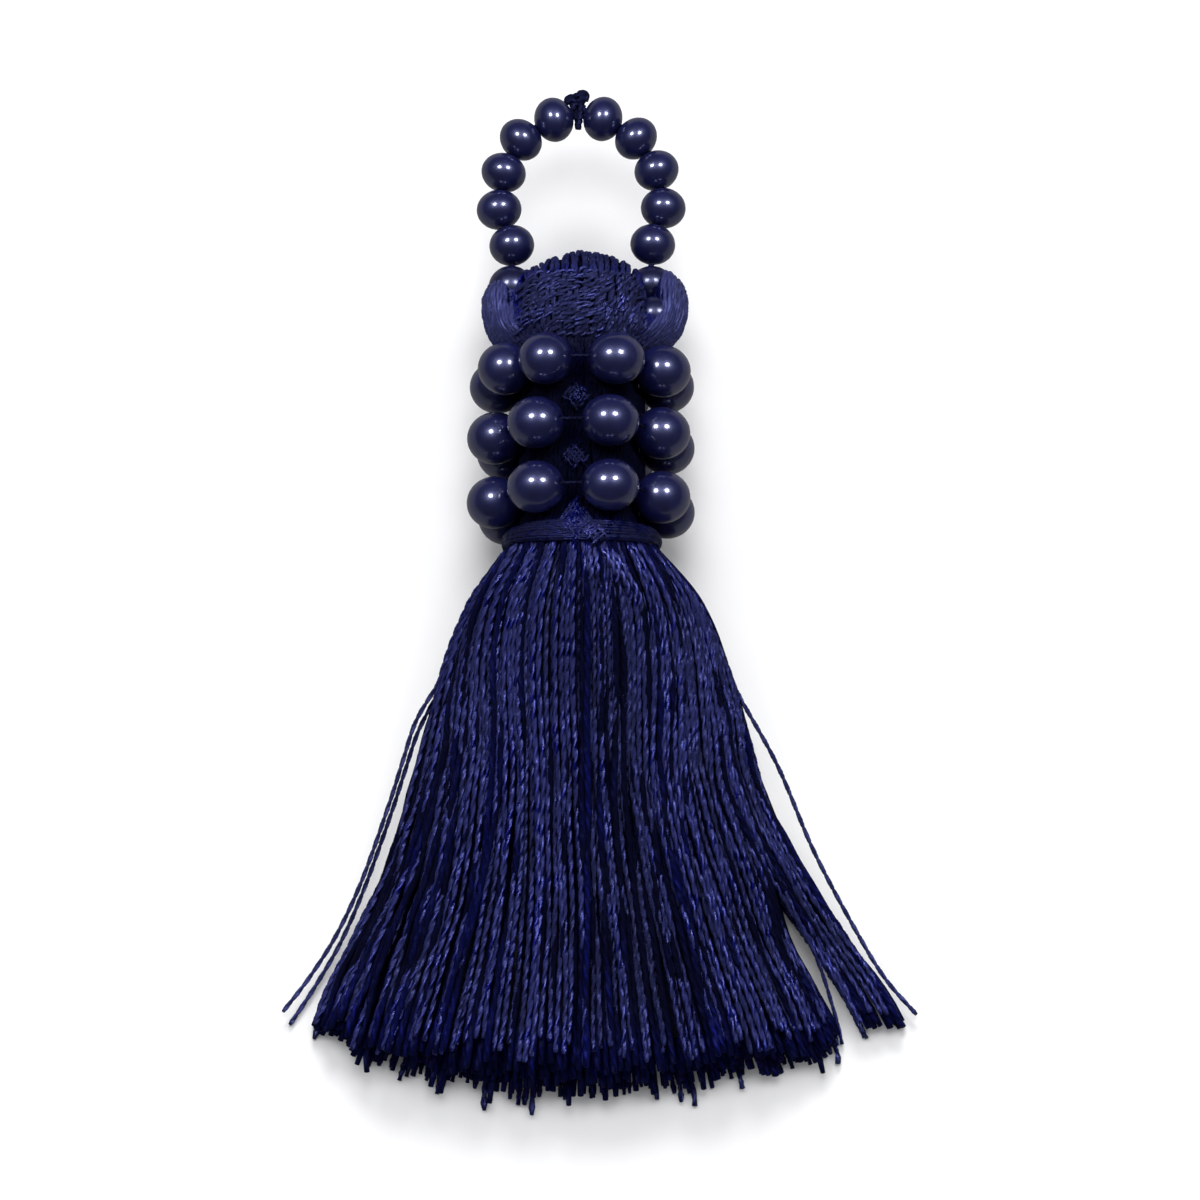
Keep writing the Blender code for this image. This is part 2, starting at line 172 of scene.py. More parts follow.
STRAYS = {
    "stray_left_a": [
        (-10.60, -5.0, 6.60),
        (-13.00, -9.0, 5.40),
        (-14.85, -12.1, 4.75),
        (-16.00, -15.5, 4.05),
        (-17.25, -19.4, 3.30),
        (-19.60, -26.0, 2.30),
        (-21.90, -31.0, 1.75),
        (-24.35, -34.9, 1.35),
        (-26.70, -38.0, 1.15),
    ],
    "stray_left_b": [
        (-10.90, -5.8, 5.60),
        (-13.10, -9.8, 4.40),
        (-14.70, -12.9, 3.75),
        (-15.85, -16.3, 3.05),
        (-17.10, -20.1, 2.35),
        (-19.40, -26.5, 1.35),
        (-21.55, -31.5, 0.85),
        (-23.90, -35.6, 0.50),
        (-26.10, -39.0, 0.33),
    ],
    "stray_right": [
        (9.30, -1.8, 8.00),
        (11.00, -4.4, 7.00),
        (12.65, -7.2, 6.10),
        (14.35, -10.4, 5.50),
        (17.60, -16.2, 4.30),
        (20.80, -23.7, 3.10),
        (24.45, -30.6, 2.10),
        (27.15, -35.0, 1.40),
        (29.95, -38.2, 0.90),
    ],
}

AXIS_Z = ROW_BEAD_R * 1.0215 + max(
    -ROW_RING_R * math.cos(math.radians(a)) for row in BEAD_ROWS for a in row["angles"]
)
YARN_R = 0.30  # over the plies
YARN_TURN = 3.1  # length of a full turn of the twist

# --- camera ---------------------------------------------------------------
CAMERA_ELEVATION = 75.0
CAMERA_AWAY = 1.20
VIEW_HEIGHT = 0.1075

target = Vector((0.0, -0.0008, 0.0085))
el = math.radians(CAMERA_ELEVATION)
back = Vector((0.0, -math.cos(el), math.sin(el)))
camera_data = bpy.data.cameras.new("camera")
camera_data.sensor_width = 36.0
camera_data.lens = 36.0 * CAMERA_AWAY / VIEW_HEIGHT
camera_data.clip_start = 0.05
camera_data.clip_end = 20.0
camera = bpy.data.objects.new("camera", camera_data)
bpy.context.scene.collection.objects.link(camera)
camera.location = target + back * CAMERA_AWAY
camera.rotation_mode = "QUATERNION"
camera.rotation_quaternion = (-back).to_track_quat("-Z", "Y")
bpy.context.scene.camera = camera

# --- number helpers -------------------------------------------------------


def mix(a, b, f):
    return a + (b - a) * f


def step(a, b, x):
    f = np.clip((np.asarray(x, float) - a) / (b - a), 0.0, 1.0)
    return f * f * (3 - 2 * f)


def soft_table(xs, ys, x):
    """A smooth curve through a table, without overshoot."""
    xs, ys = np.asarray(xs, float), np.asarray(ys, float)
    x = np.asarray(x, float)
    h = np.diff(xs)
    d = np.diff(ys) / h
    m = np.zeros(len(xs))
    m[0], m[-1] = d[0], d[-1]
    for i in range(1, len(xs) - 1):
        if d[i - 1] * d[i] > 0:
            w1, w2 = 2 * h[i] + h[i - 1], h[i] + 2 * h[i - 1]
            m[i] = (w1 + w2) / (w1 / d[i - 1] + w2 / d[i])
    k = np.clip(np.searchsorted(xs, x, side="right") - 1, 0, len(xs) - 2)
    t = np.clip((x - xs[k]) / h[k], 0.0, 1.0)
    return (
        ys[k] * (1 + 2 * t) * (1 - t) ** 2
        + m[k] * h[k] * t * (1 - t) ** 2
        + ys[k + 1] * t * t * (3 - 2 * t)
        + m[k + 1] * h[k] * t * t * (t - 1)
    )


def unit(v):
    return v / np.maximum(np.linalg.norm(v, axis=-1, keepdims=True), 1e-9)


def place(points):
    return (np.asarray(points, float) + np.array([SHIFT_X, SHIFT_Y, 0.0])) * 0.001


def curve_through(points, count):
    """count points on a smooth curve through the given ones, evenly spread."""
    pts = np.asarray(points, float)
    pts = np.vstack([pts[0] * 2 - pts[1], pts, pts[-1] * 2 - pts[-2]])
    out = []
    for i in range(1, len(pts) - 2):
        a, b, c, d = pts[i - 1 : i + 3]
        t = np.linspace(0, 1, 24, endpoint=False)[:, None]
        out.append(
            0.5
            * (
                2 * b
                + (c - a) * t
                + (2 * a - 5 * b + 4 * c - d) * t**2
                + (3 * b - a - 3 * c + d) * t**3
            )
        )
    out = np.vstack(out + [pts[-2][None]])
    length = np.concatenate(
        [[0], np.cumsum(np.linalg.norm(np.diff(out, axis=0), axis=1))]
    )
    at = np.linspace(0, length[-1], count)
    return np.stack([np.interp(at, length, out[:, c]) for c in range(3)], axis=1)


# --- mesh helpers ---------------------------------------------------------


def mesh_piece(name, verts, faces, material, uvs=None, colours=None):
    """One object from blocks of faces; every block is an array with one face a row."""
    mesh = bpy.data.meshes.new(name)
    mesh.vertices.add(len(verts))
    mesh.vertices.foreach_set("co", np.asarray(verts, np.float32).ravel())
    loops = np.concatenate([f.ravel() for f in faces]).astype(np.int32)
    sizes = np.concatenate([np.full(len(f), f.shape[1]) for f in faces])
    starts = np.concatenate([[0], np.cumsum(sizes)[:-1]]).astype(np.int32)
    mesh.loops.add(len(loops))
    mesh.loops.foreach_set("vertex_index", loops)
    mesh.polygons.add(len(sizes))
    mesh.polygons.foreach_set("loop_start", starts)
    mesh.update(calc_edges=True)
    mesh.shade_smooth()
    if uvs is not None:
        layer = mesh.uv_layers.new(name="along")
        layer.data.foreach_set("uv", np.asarray(uvs, np.float32).ravel())
    if colours is not None:
        attribute = mesh.color_attributes.new("strand", "FLOAT_COLOR", "POINT")
        attribute.data.foreach_set("color", np.asarray(colours, np.float32).ravel())
    mesh.materials.append(material)
    obj = bpy.data.objects.new(name, mesh)
    bpy.context.scene.collection.objects.link(obj)
    return obj


PLY_8 = np.array([1.0, 0.90, 0.56, 0.90] * 2)
PLY_6 = np.array([1.0, 0.74, 0.74] * 2)
PLY_SOFT = np.array([1.0, 0.95, 0.80, 0.95] * 2)
ROUND_6 = np.ones(6)


def tubes(
    name,
    paths,
    facing,
    radius,
    material,
    ply=PLY_8,
    turn=YARN_TURN,
    rng=None,
    depth=0.0,
    along=(0.0, 1.0),
    taper=None,
    closed=False,
    tone=None,
    spin=None,
):
    """Twisted yarns in one mesh. paths is (yarns, rings, 3) in millimetres, facing
    the direction away from what each ring lies on, radius one number or one a ring.
    With spin the tube is round and only its surface winds, a turn every spin mm."""
    paths = np.asarray(paths, float)
    count, rings, _ = paths.shape
    sides = len(ply)
    tangent = unit(np.gradient(paths, axis=1))
    if closed:
        tangent = unit(np.roll(paths, -1, 1) - np.roll(paths, 1, 1))
    facing = np.broadcast_to(np.asarray(facing, float), paths.shape)
    normal = unit(facing - (facing * tangent).sum(-1, keepdims=True) * tangent)
    side = np.cross(tangent, normal)
    steps = np.linalg.norm(np.diff(paths, axis=1), axis=-1)
    run = np.concatenate([np.zeros((count, 1)), np.cumsum(steps, axis=1)], axis=1)
    if rng is None:
        rng = np.random.default_rng(1)
    start = rng.uniform(0, 2 * np.pi, (count, 1))
    if closed:
        total = run[:, -1:] + np.linalg.norm(paths[:, 0] - paths[:, -1], axis=-1)[:, None]
        turns = np.maximum(1.0, np.round(2 * total / turn) / 2)
        phase = start + 2 * np.pi * turns * run / total
    elif spin is not None:
        phase = start + 0 * run
    else:
        phase = start + 2 * np.pi * run / turn
    angle = phase[..., None] + 2 * np.pi * np.arange(sides) / sides
    r = np.broadcast_to(np.asarray(radius, float), (count, rings)).copy()
    if taper is not None:
        r *= taper
    reach = r[..., None] * ply
    rim = (
        paths[:, :, None, :]
        + (reach * np.cos(angle))[..., None] * normal[:, :, None, :]
        + (reach * np.sin(angle))[..., None] * side[:, :, None, :]
    )
    share = np.broadcast_to(
        np.linspace(along[0], along[1], rings), (count, rings)
    )
    if tone is None:
        tone = rng.uniform(0, 1, (count, 1))
    tone = np.broadcast_to(tone, (count, rings))
    # depth is painted shade: 0 leaves the yarn as lit, 1 turns it nearly black
    deep_shade = np.broadcast_to(np.asarray(depth, float), (count, rings))
    colour = np.stack([tone, share, deep_shade, np.ones_like(tone)], axis=-1)
    colours = np.repeat(colour[:, :, None, :], sides, axis=2)

    base = np.arange(count * rings * sides).reshape(count, rings, sides)
    after = np.roll(base, -1, axis=2)
    if closed:
        a, b = base, np.roll(base, -1, axis=1)
        c, d = np.roll(after, -1, axis=1), after
    else:
        a, b = base[:, :-1], base[:, 1:]
        c, d = after[:, 1:], after[:, :-1]
    quads = np.stack([a, d, c, b], axis=-1).reshape(-1, 4)
    u0 = np.arange(sides) / sides
    u1 = (np.arange(sides) + 1) / sides
    v = run
    if closed:
        va, vb = v, np.concatenate([v[:, 1:], total], axis=1)
    else:
        va, vb = v[:, :-1], v[:, 1:]
    full = np.broadcast_to
    shape = (count, va.shape[1], sides)
    ua, ub = full(u0, shape), full(u1, shape)
    va, vb = full(va[..., None], shape), full(vb[..., None], shape)
    ka, kb = (va / spin, vb / spin) if spin is not None else (0.0, 0.0)
    uv = np.stack(
        [
            np.stack([ua + ka, va], -1),
            np.stack([ub + ka, va], -1),
            np.stack([ub + kb, vb], -1),
            np.stack([ua + kb, vb], -1),
        ],
        axis=3,
    ).reshape(-1, 2)
    verts = rim.reshape(-1, 3)
    colours = colours.reshape(-1, 4)
    faces = [quads]
    if not closed:
        tips = np.stack(
            [
                paths[:, 0] - tangent[:, 0] * r[:, :1] * 0.25,
                paths[:, -1] + tangent[:, -1] * r[:, -1:] * 0.25,
            ],
            axis=1,
        ).reshape(-1, 3)
        first = len(verts) + 2 * np.arange(count)[:, None]
        caps_a = np.stack(
            [np.broadcast_to(first, (count, sides)), after[:, 0], base[:, 0]], axis=-1
        )
        caps_b = np.stack(
            [np.broadcast_to(first + 1, (count, sides)), base[:, -1], after[:, -1]],
            axis=-1,
        )
        faces += [caps_a.reshape(-1, 3), caps_b.reshape(-1, 3)]
        for ends, at in ((run[:, 0], 0), (run[:, -1], 1)):
            ends = np.broadcast_to(ends[:, None], (count, sides))
            middle = np.broadcast_to(u0 + 0.5 / sides, (count, sides))
            lo, hi = np.broadcast_to(u0, ends.shape), np.broadcast_to(u1, ends.shape)
            pair = (hi, lo) if at == 0 else (lo, hi)
            cap_uv = np.stack(
                [
                    np.stack([middle, ends], -1),
                    np.stack([pair[0], ends], -1),
                    np.stack([pair[1], ends], -1),
                ],
                axis=2,
            ).reshape(-1, 2)
            uv = np.concatenate([uv, cap_uv])
        verts = np.concatenate([verts, tips])
        ends = np.stack([colour[:, 0], colour[:, -1]], axis=1).reshape(-1, 4)
        colours = np.concatenate([colours, ends])
    return mesh_piece(name, place(verts), faces, material, uv, colours)


def keep(piece, slot, *nodes):
    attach(piece, "root")
    if nodes:
        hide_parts(*nodes)
    return piece


# --- materials ------------------------------------------------------------


class Nodes:
    """A material's nodes, added and wired in one line each."""

    def __init__(self, name):
        self.mat = bpy.data.materials.new(name)
        self.mat.use_nodes = True
        self.tree = self.mat.node_tree
        self.shader = self.tree.nodes["Principled BSDF"]

    def add(self, kind, links=None, **values):
        node = self.tree.nodes.new(kind)
        for key, value in values.items():
            setattr(node, key, value)
        for key, value in (links or {}).items():
            self.put(node, key, value)
        return node

    def put(self, node, key, value):
        socket = node.inputs[key]
        if isinstance(value, bpy.types.NodeSocket):
            self.tree.links.new(value, socket)
        else:
            socket.default_value = value

    def math(self, op, a, b=0.0, c=0.0):
        node = self.add("ShaderNodeMath", operation=op)
        for i, value in enumerate((a, b, c)):
            self.put(node, i, value)
        return node.outputs[0]

    def ramp(self, value, low, high, to_low=0.0, to_high=1.0):
        node = self.add("ShaderNodeMapRange", interpolation_type="SMOOTHSTEP")
        for key, v in (
            ("Value", value),
            ("From Min", low),
            ("From Max", high),
            ("To Min", to_low),
            ("To Max", to_high),
        ):
            self.put(node, key, v)
        return node.outputs["Result"]

    def blend(self, factor, a, b, kind="MIX"):
        node = self.add("ShaderNodeMix", data_type="RGBA", blend_type=kind)
        self.put(node, 0, factor)
        self.put(node, 6, a)
        self.put(node, 7, b)
        return node.outputs[2]

    def set(self, **values):
        for key, value in values.items():
            self.put(self.shader, key.replace("_", " "), value)


def yarn_material(
    name,
    dark,
    light,
    rough,
    sheen,
    bump,
    fibres=(10.0, 0.55),
    ply=0.0,
    gloss=1.0,
    contrast=1.0,
):
    n = Nodes(name)
    strand = n.add("ShaderNodeVertexColor", layer_name="strand")
    parts = n.add("ShaderNodeSeparateColor", {"Color": strand.outputs["Color"]})
    tone, along, deep_shade = (parts.outputs[i] for i in range(3))
    # the painted shade of buried yarns eases towards the cut ends, which are open to the light
    deep_shade = n.math("MULTIPLY", deep_shade, n.ramp(along, 0.84, 1.0, 1.0, 0.42))
    uv = n.add("ShaderNodeUVMap", uv_map="along")
    # plies: 1 on their backs, 0 in the groove between them
    around = n.add("ShaderNodeSeparateXYZ", {0: uv.outputs[0]})
    wave = n.math("COSINE", n.math("MULTIPLY", around.outputs[0], 4 * math.pi))
    ridge = n.math("MULTIPLY_ADD", wave, 0.5, 0.5)
    # filaments: fine lines that run along the plies
    scaled = n.add(
        "ShaderNodeMapping",
        {"Vector": uv.outputs[0], "Scale": (fibres[0], fibres[1], 1.0)},
    )
    filament = n.add(
        "ShaderNodeTexNoise",
        {"Vector": scaled.outputs[0], "Scale": 3.0, "Detail": 3.0, "Roughness": 0.6},
        noise_dimensions="2D",
    )
    patch = n.add(
        "ShaderNodeTexNoise",
        {"Scale": 800.0, "Detail": 2.0, "Roughness": 0.6},
    )
    coords = n.add("ShaderNodeTexCoord")
    n.put(patch, "Vector", coords.outputs["Object"])
    lift = n.math("MULTIPLY_ADD", filament.outputs[0], 0.9, -0.20)
    lift = n.math("ADD", lift, n.math("MULTIPLY", tone, 0.55))
    # painted shade in the groove between the plies
    lift = n.math("MULTIPLY", lift, n.math("POWER", ridge, 1.5))
    lift = n.math("MULTIPLY", lift, n.ramp(patch.outputs[0], 0.32, 0.68, 0.20, 1.50))
    lift = n.math("POWER", n.math("MAXIMUM", lift, 0.0), contrast)
    colour = n.blend(lift, (*dark, 1), (*light, 1))
    # painted shade: buried yarns go towards black, and the very ends of the yarns darken too
    shade = n.ramp(deep_shade, 0.0, 1.0, 1.0, 0.06)
    shade = n.math("MULTIPLY", shade, n.ramp(along, 0.94, 1.0, 1.0, 0.48))
    black = n.blend(shade, (0.0003, 0.0003, 0.003, 1), colour)
    n.put(n.shader, "Base Color", black)
    rough_out = n.math("MULTIPLY_ADD", filament.outputs[0], 0.25, rough - 0.12)
    rough_out = n.math("MULTIPLY_ADD", deep_shade, 0.45, rough_out)
    dull = n.ramp(patch.outputs[0], 0.40, 0.60, 0.50, 0.0)
    rough_out = n.math("ADD", rough_out, dull)
    n.put(n.shader, "Roughness", rough_out)
    height = n.math(
        "ADD",
        n.math("MULTIPLY", filament.outputs[0], 0.7),
        n.math("MULTIPLY", ridge, ply),
    )
    bumped = n.add(
        "ShaderNodeBump", {"Strength": bump, "Distance": 0.00006, "Height": height}
    )
    n.put(n.shader, "Normal", bumped.outputs[0])
    n.set(
        Specular_IOR_Level=gloss,
        Specular_Tint=(0.30, 0.34, 1.0, 1.0),
        Sheen_Weight=sheen,
        Sheen_Roughness=0.35,
        Sheen_Tint=(0.30, 0.33, 0.85, 1.0),
        IOR=1.7,
    )
    return n.mat


def bead_material(name, base_level=1.0, coat=1.0):
    n = Nodes(name)
    coords = n.add("ShaderNodeTexCoord")
    cloud = n.add(
        "ShaderNodeTexNoise",
        {"Vector": coords.outputs["Object"], "Scale": 900.0, "Detail": 3.0},
    )
    speck = n.add(
        "ShaderNodeTexNoise",
        {"Vector": coords.outputs["Object"], "Scale": 9000.0, "Detail": 2.0},
    )
    rim = n.add("ShaderNodeLayerWeight", {"Blend": 0.35})
    base = n.blend(
        n.ramp(cloud.outputs[0], 0.3, 0.7),
        (0.0022 * base_level, 0.0028 * base_level, 0.032 * base_level, 1),
        (0.0036 * base_level, 0.0044 * base_level, 0.046 * base_level, 1),
    )
    # painted reflection: towards the edges the base turns a lighter slate
    base = n.blend(
        n.ramp(rim.outputs["Facing"], 0.80, 1.0, 0.0, 0.25), base, (0.040, 0.042, 0.100, 1)
    )
    n.put(n.shader, "Base Color", base)
    n.put(
        n.shader,
        "Roughness",
        n.math("MULTIPLY_ADD", speck.outputs[0], 0.08, 0.34),
    )
    height = n.math(
        "ADD",
        n.math("MULTIPLY", cloud.outputs[0], 0.6),
        n.math("MULTIPLY", speck.outputs[0], 0.12),
    )
    bumped = n.add(
        "ShaderNodeBump", {"Strength": 0.10, "Distance": 0.00008, "Height": height}
    )
    n.put(n.shader, "Normal", bumped.outputs[0])
    n.set(
        Metallic=0.0,
        IOR=1.5,
        Specular_IOR_Level=1.0,
        Specular_Tint=(0.50, 0.54, 1.0, 1.0),
        Coat_Weight=coat,
        Coat_Roughness=0.10,
        Coat_IOR=1.55,
    )
    return n.mat


def floor_material():
    n = Nodes("floor")
    coords = n.add("ShaderNodeTexCoord")
    grain = n.add(
        "ShaderNodeTexNoise",
        {"Vector": coords.outputs["Object"], "Scale": 60.0, "Detail": 4.0},
    )
    colour = n.blend(grain.outputs[0], (0.835, 0.835, 0.845, 1), (0.86, 0.86, 0.87, 1))
    # the object's gloss meets a grey card rather than the bright floor
    rays = n.add("ShaderNodeLightPath")
    card = n.math("MULTIPLY", rays.outputs["Is Glossy Ray"], 0.82)
    n.put(n.shader, "Base Color", n.blend(card, colour, (0.02, 0.02, 0.025, 1)))
    # far away the floor fades into the white of the room
    away = n.add("ShaderNodeVectorMath", {0: coords.outputs["Object"]}, operation="LENGTH")
    glow = n.ramp(away.outputs["Value"], 0.25, 1.10, 0.0, 0.62)
    glow = n.math("MULTIPLY", glow, rays.outputs["Is Camera Ray"])
    n.put(n.shader, "Emission Strength", glow)
    n.set(Roughness=0.85, Specular_IOR_Level=0.15, Emission_Color=(1.0, 1.0, 1.0, 1.0))
    return n.mat


YARN = yarn_material(
    "yarn", (0.0003, 0.0009, 0.036), (0.0014, 0.0042, 0.170), 0.22, 0.0, 0.8, ply=1.8, gloss=0.85
)
# painted sheen: a paler, greyer yarn colour for the head's side lobes
PAINTED_SHEEN = yarn_material(
    "yarn_painted_sheen", (0.0130, 0.0150, 0.060), (0.0400, 0.0430, 0.135), 0.40, 0.0, 0.6, gloss=0.9
)
# painted glints: a much lighter yarn colour that stands in for highlights on the plies
PAINTED_GLINT = yarn_material(
    "yarn_painted_glint",
    (0.0015, 0.0022, 0.034),
    (0.0900, 0.1000, 0.460),
    0.20,
    0.0,
    0.8,
    ply=1.2,
    contrast=1.8,
)
# painted shade: a duller, slightly darker copy of the yarn for the layers underneath and the
# neck, which lie in shade
INNER = yarn_material(
    "yarn_inner",
    (0.0003, 0.0009, 0.034),
    (0.0010, 0.0034, 0.150),
    0.42,
    0.0,
    0.8,
    ply=3.0,
    gloss=0.12,
)
WOUND = yarn_material(
    "binding", (0.0002, 0.0005, 0.012), (0.0008, 0.0020, 0.060), 0.26, 0.0, 0.7, gloss=0.42
)
THREAD = yarn_material(
    "thread", (0.0003, 0.0004, 0.005), (0.0010, 0.0014, 0.022), 0.45, 0.0, 0.4, gloss=0.3
)
PEARL = bead_material("bead")
# painted shade: a darker, duller copy for the beads sunk into the head
SUNK_SHADED = bead_material("bead_sunk_shaded", 0.6, 0.45)

# --- skirt ----------------------------------------------------------------


def hem_y(w):
    x = w * np.where(w < 0, 24.0, 28.7)
    return soft_table(HEM[:, 0], HEM[:, 1], x)


LOCK_LEFT = np.concatenate([[-1.0], LOCKS[:-1, 0]])


def lock_of(w):
    k = np.clip(np.searchsorted(LOCKS[:, 0], w), 0, len(LOCKS) - 1)
    middle = (LOCK_LEFT[k] + LOCKS[k, 0]) / 2
    half = (LOCKS[k, 0] - LOCK_LEFT[k]) / 2
    return k, middle, half


def skirt(w, s, f, end_y, depth=0.0, grooves=0.5, home=None):
    """Points of yarns: w their share across at the hem, s the share down, f from
    0 on the upper face to 1 on the underside, depth below that face. home is the
    share that says which side of the slit a yarn is on."""
    k, middle, half = lock_of(w)
    w_now = np.clip(w, -0.998, 0.998)
    # the open slit beside the right lock
    side = np.where((w if home is None else home) < SLIT_W, -1.0, 1.0)
    near = np.exp(-np.abs(w - SLIT_W) / 0.12)
    w_now = w_now + side * near * 0.047 * step(0.64, 0.82, s)
    phi = w_now * np.pi / 2
    turn = step(0.0, 0.5, s)
    share = mix(np.sin(phi), w_now, turn)
    top_y = SKIRT_TOP_Y + SIDE_RISE * np.sin(phi) ** 2
    y = top_y - (top_y - end_y) * s
    at = np.clip((top_y - y) / (top_y - hem_y(w)), 0.0, 1.0)
    half_w = np.where(
        share < 0,
        soft_table(SKIRT[:, 0], SKIRT[:, 1], at),
        soft_table(SKIRT[:, 0], SKIRT[:, 2], at),
    )
    top, edge, under = (soft_table(SKIRT[:, 0], SKIRT[:, c], at) for c in (3, 4, 5))
    flat = np.sqrt(np.maximum(0.0, 1 - np.abs(w_now) ** 4))
    up = mix(np.cos(phi), flat, turn)
    z_up = edge + (top - edge) * up
    offset = np.clip(np.abs(w_now - middle) / half, 0, 1)
    z_up = z_up - grooves * LOCKS[k, 3] * offset**2.2 * step(0.25, 1.0, at) * (
        1 - 0.6 * np.abs(w_now) ** 6
    )
    z_up = z_up - (z_up - under - 1.2) * 0.55 * near * step(0.62, 0.85, s)
    z_low = edge - (edge - under) * mix(np.cos(phi), 1.0, step(0.0, 0.2, s))
    z = mix(z_up, z_low, f)
    x = share * half_w
    nx = mix(np.sin(phi), np.sign(w_now) * np.abs(w_now) ** 3, turn)
    nz = mix(up, -np.maximum(np.cos(phi), 0.4), f)
    long = np.maximum(np.hypot(nx, nz), 1e-6)
    nx, nz = nx / long, nz / long
    x = x - nx * depth * (1 - 0.6 * np.abs(w_now) ** 8) * (1 - near * step(0.45, 0.70, s))
    z = z - nz * depth
    facing = np.stack([nx, np.zeros_like(nx), nz], axis=-1)
    return np.stack([x, y + 0 * x, z], axis=-1), facing


def face_length(f, at=0.85):
    """Length across the face at a station, against the share across."""
    w = np.linspace(-0.995, 0.995, 801)[:, None]
    p, _ = skirt(w, np.full((1, 1), at), f, hem_y(w), grooves=0.0)
    p = p[:, 0]
    run = np.concatenate([[0], np.cumsum(np.linalg.norm(np.diff(p, axis=0), axis=1))])
    return run, w[:, 0]


def bundles(rng, total, pitch, gap, sizes):
    """Places of yarns along a length, gathered in bundles with gaps between.
    Returns the place, the bundle and -1..1 across the bundle of each yarn."""
    places, group, across = [], [], []
    at, k = 0.0, 0
    while at < total:
        n = int(rng.choice(sizes))
        for i in range(n):
            places.append(at + pitch * i)
            group.append(k)
            across.append(0.0 if n == 1 else 2 * i / (n - 1) - 1)
        at += pitch * n + rng.uniform(*gap)
        k += 1
    places = np.array(places)
    return places * total / places[-1], np.array(group), np.array(across)


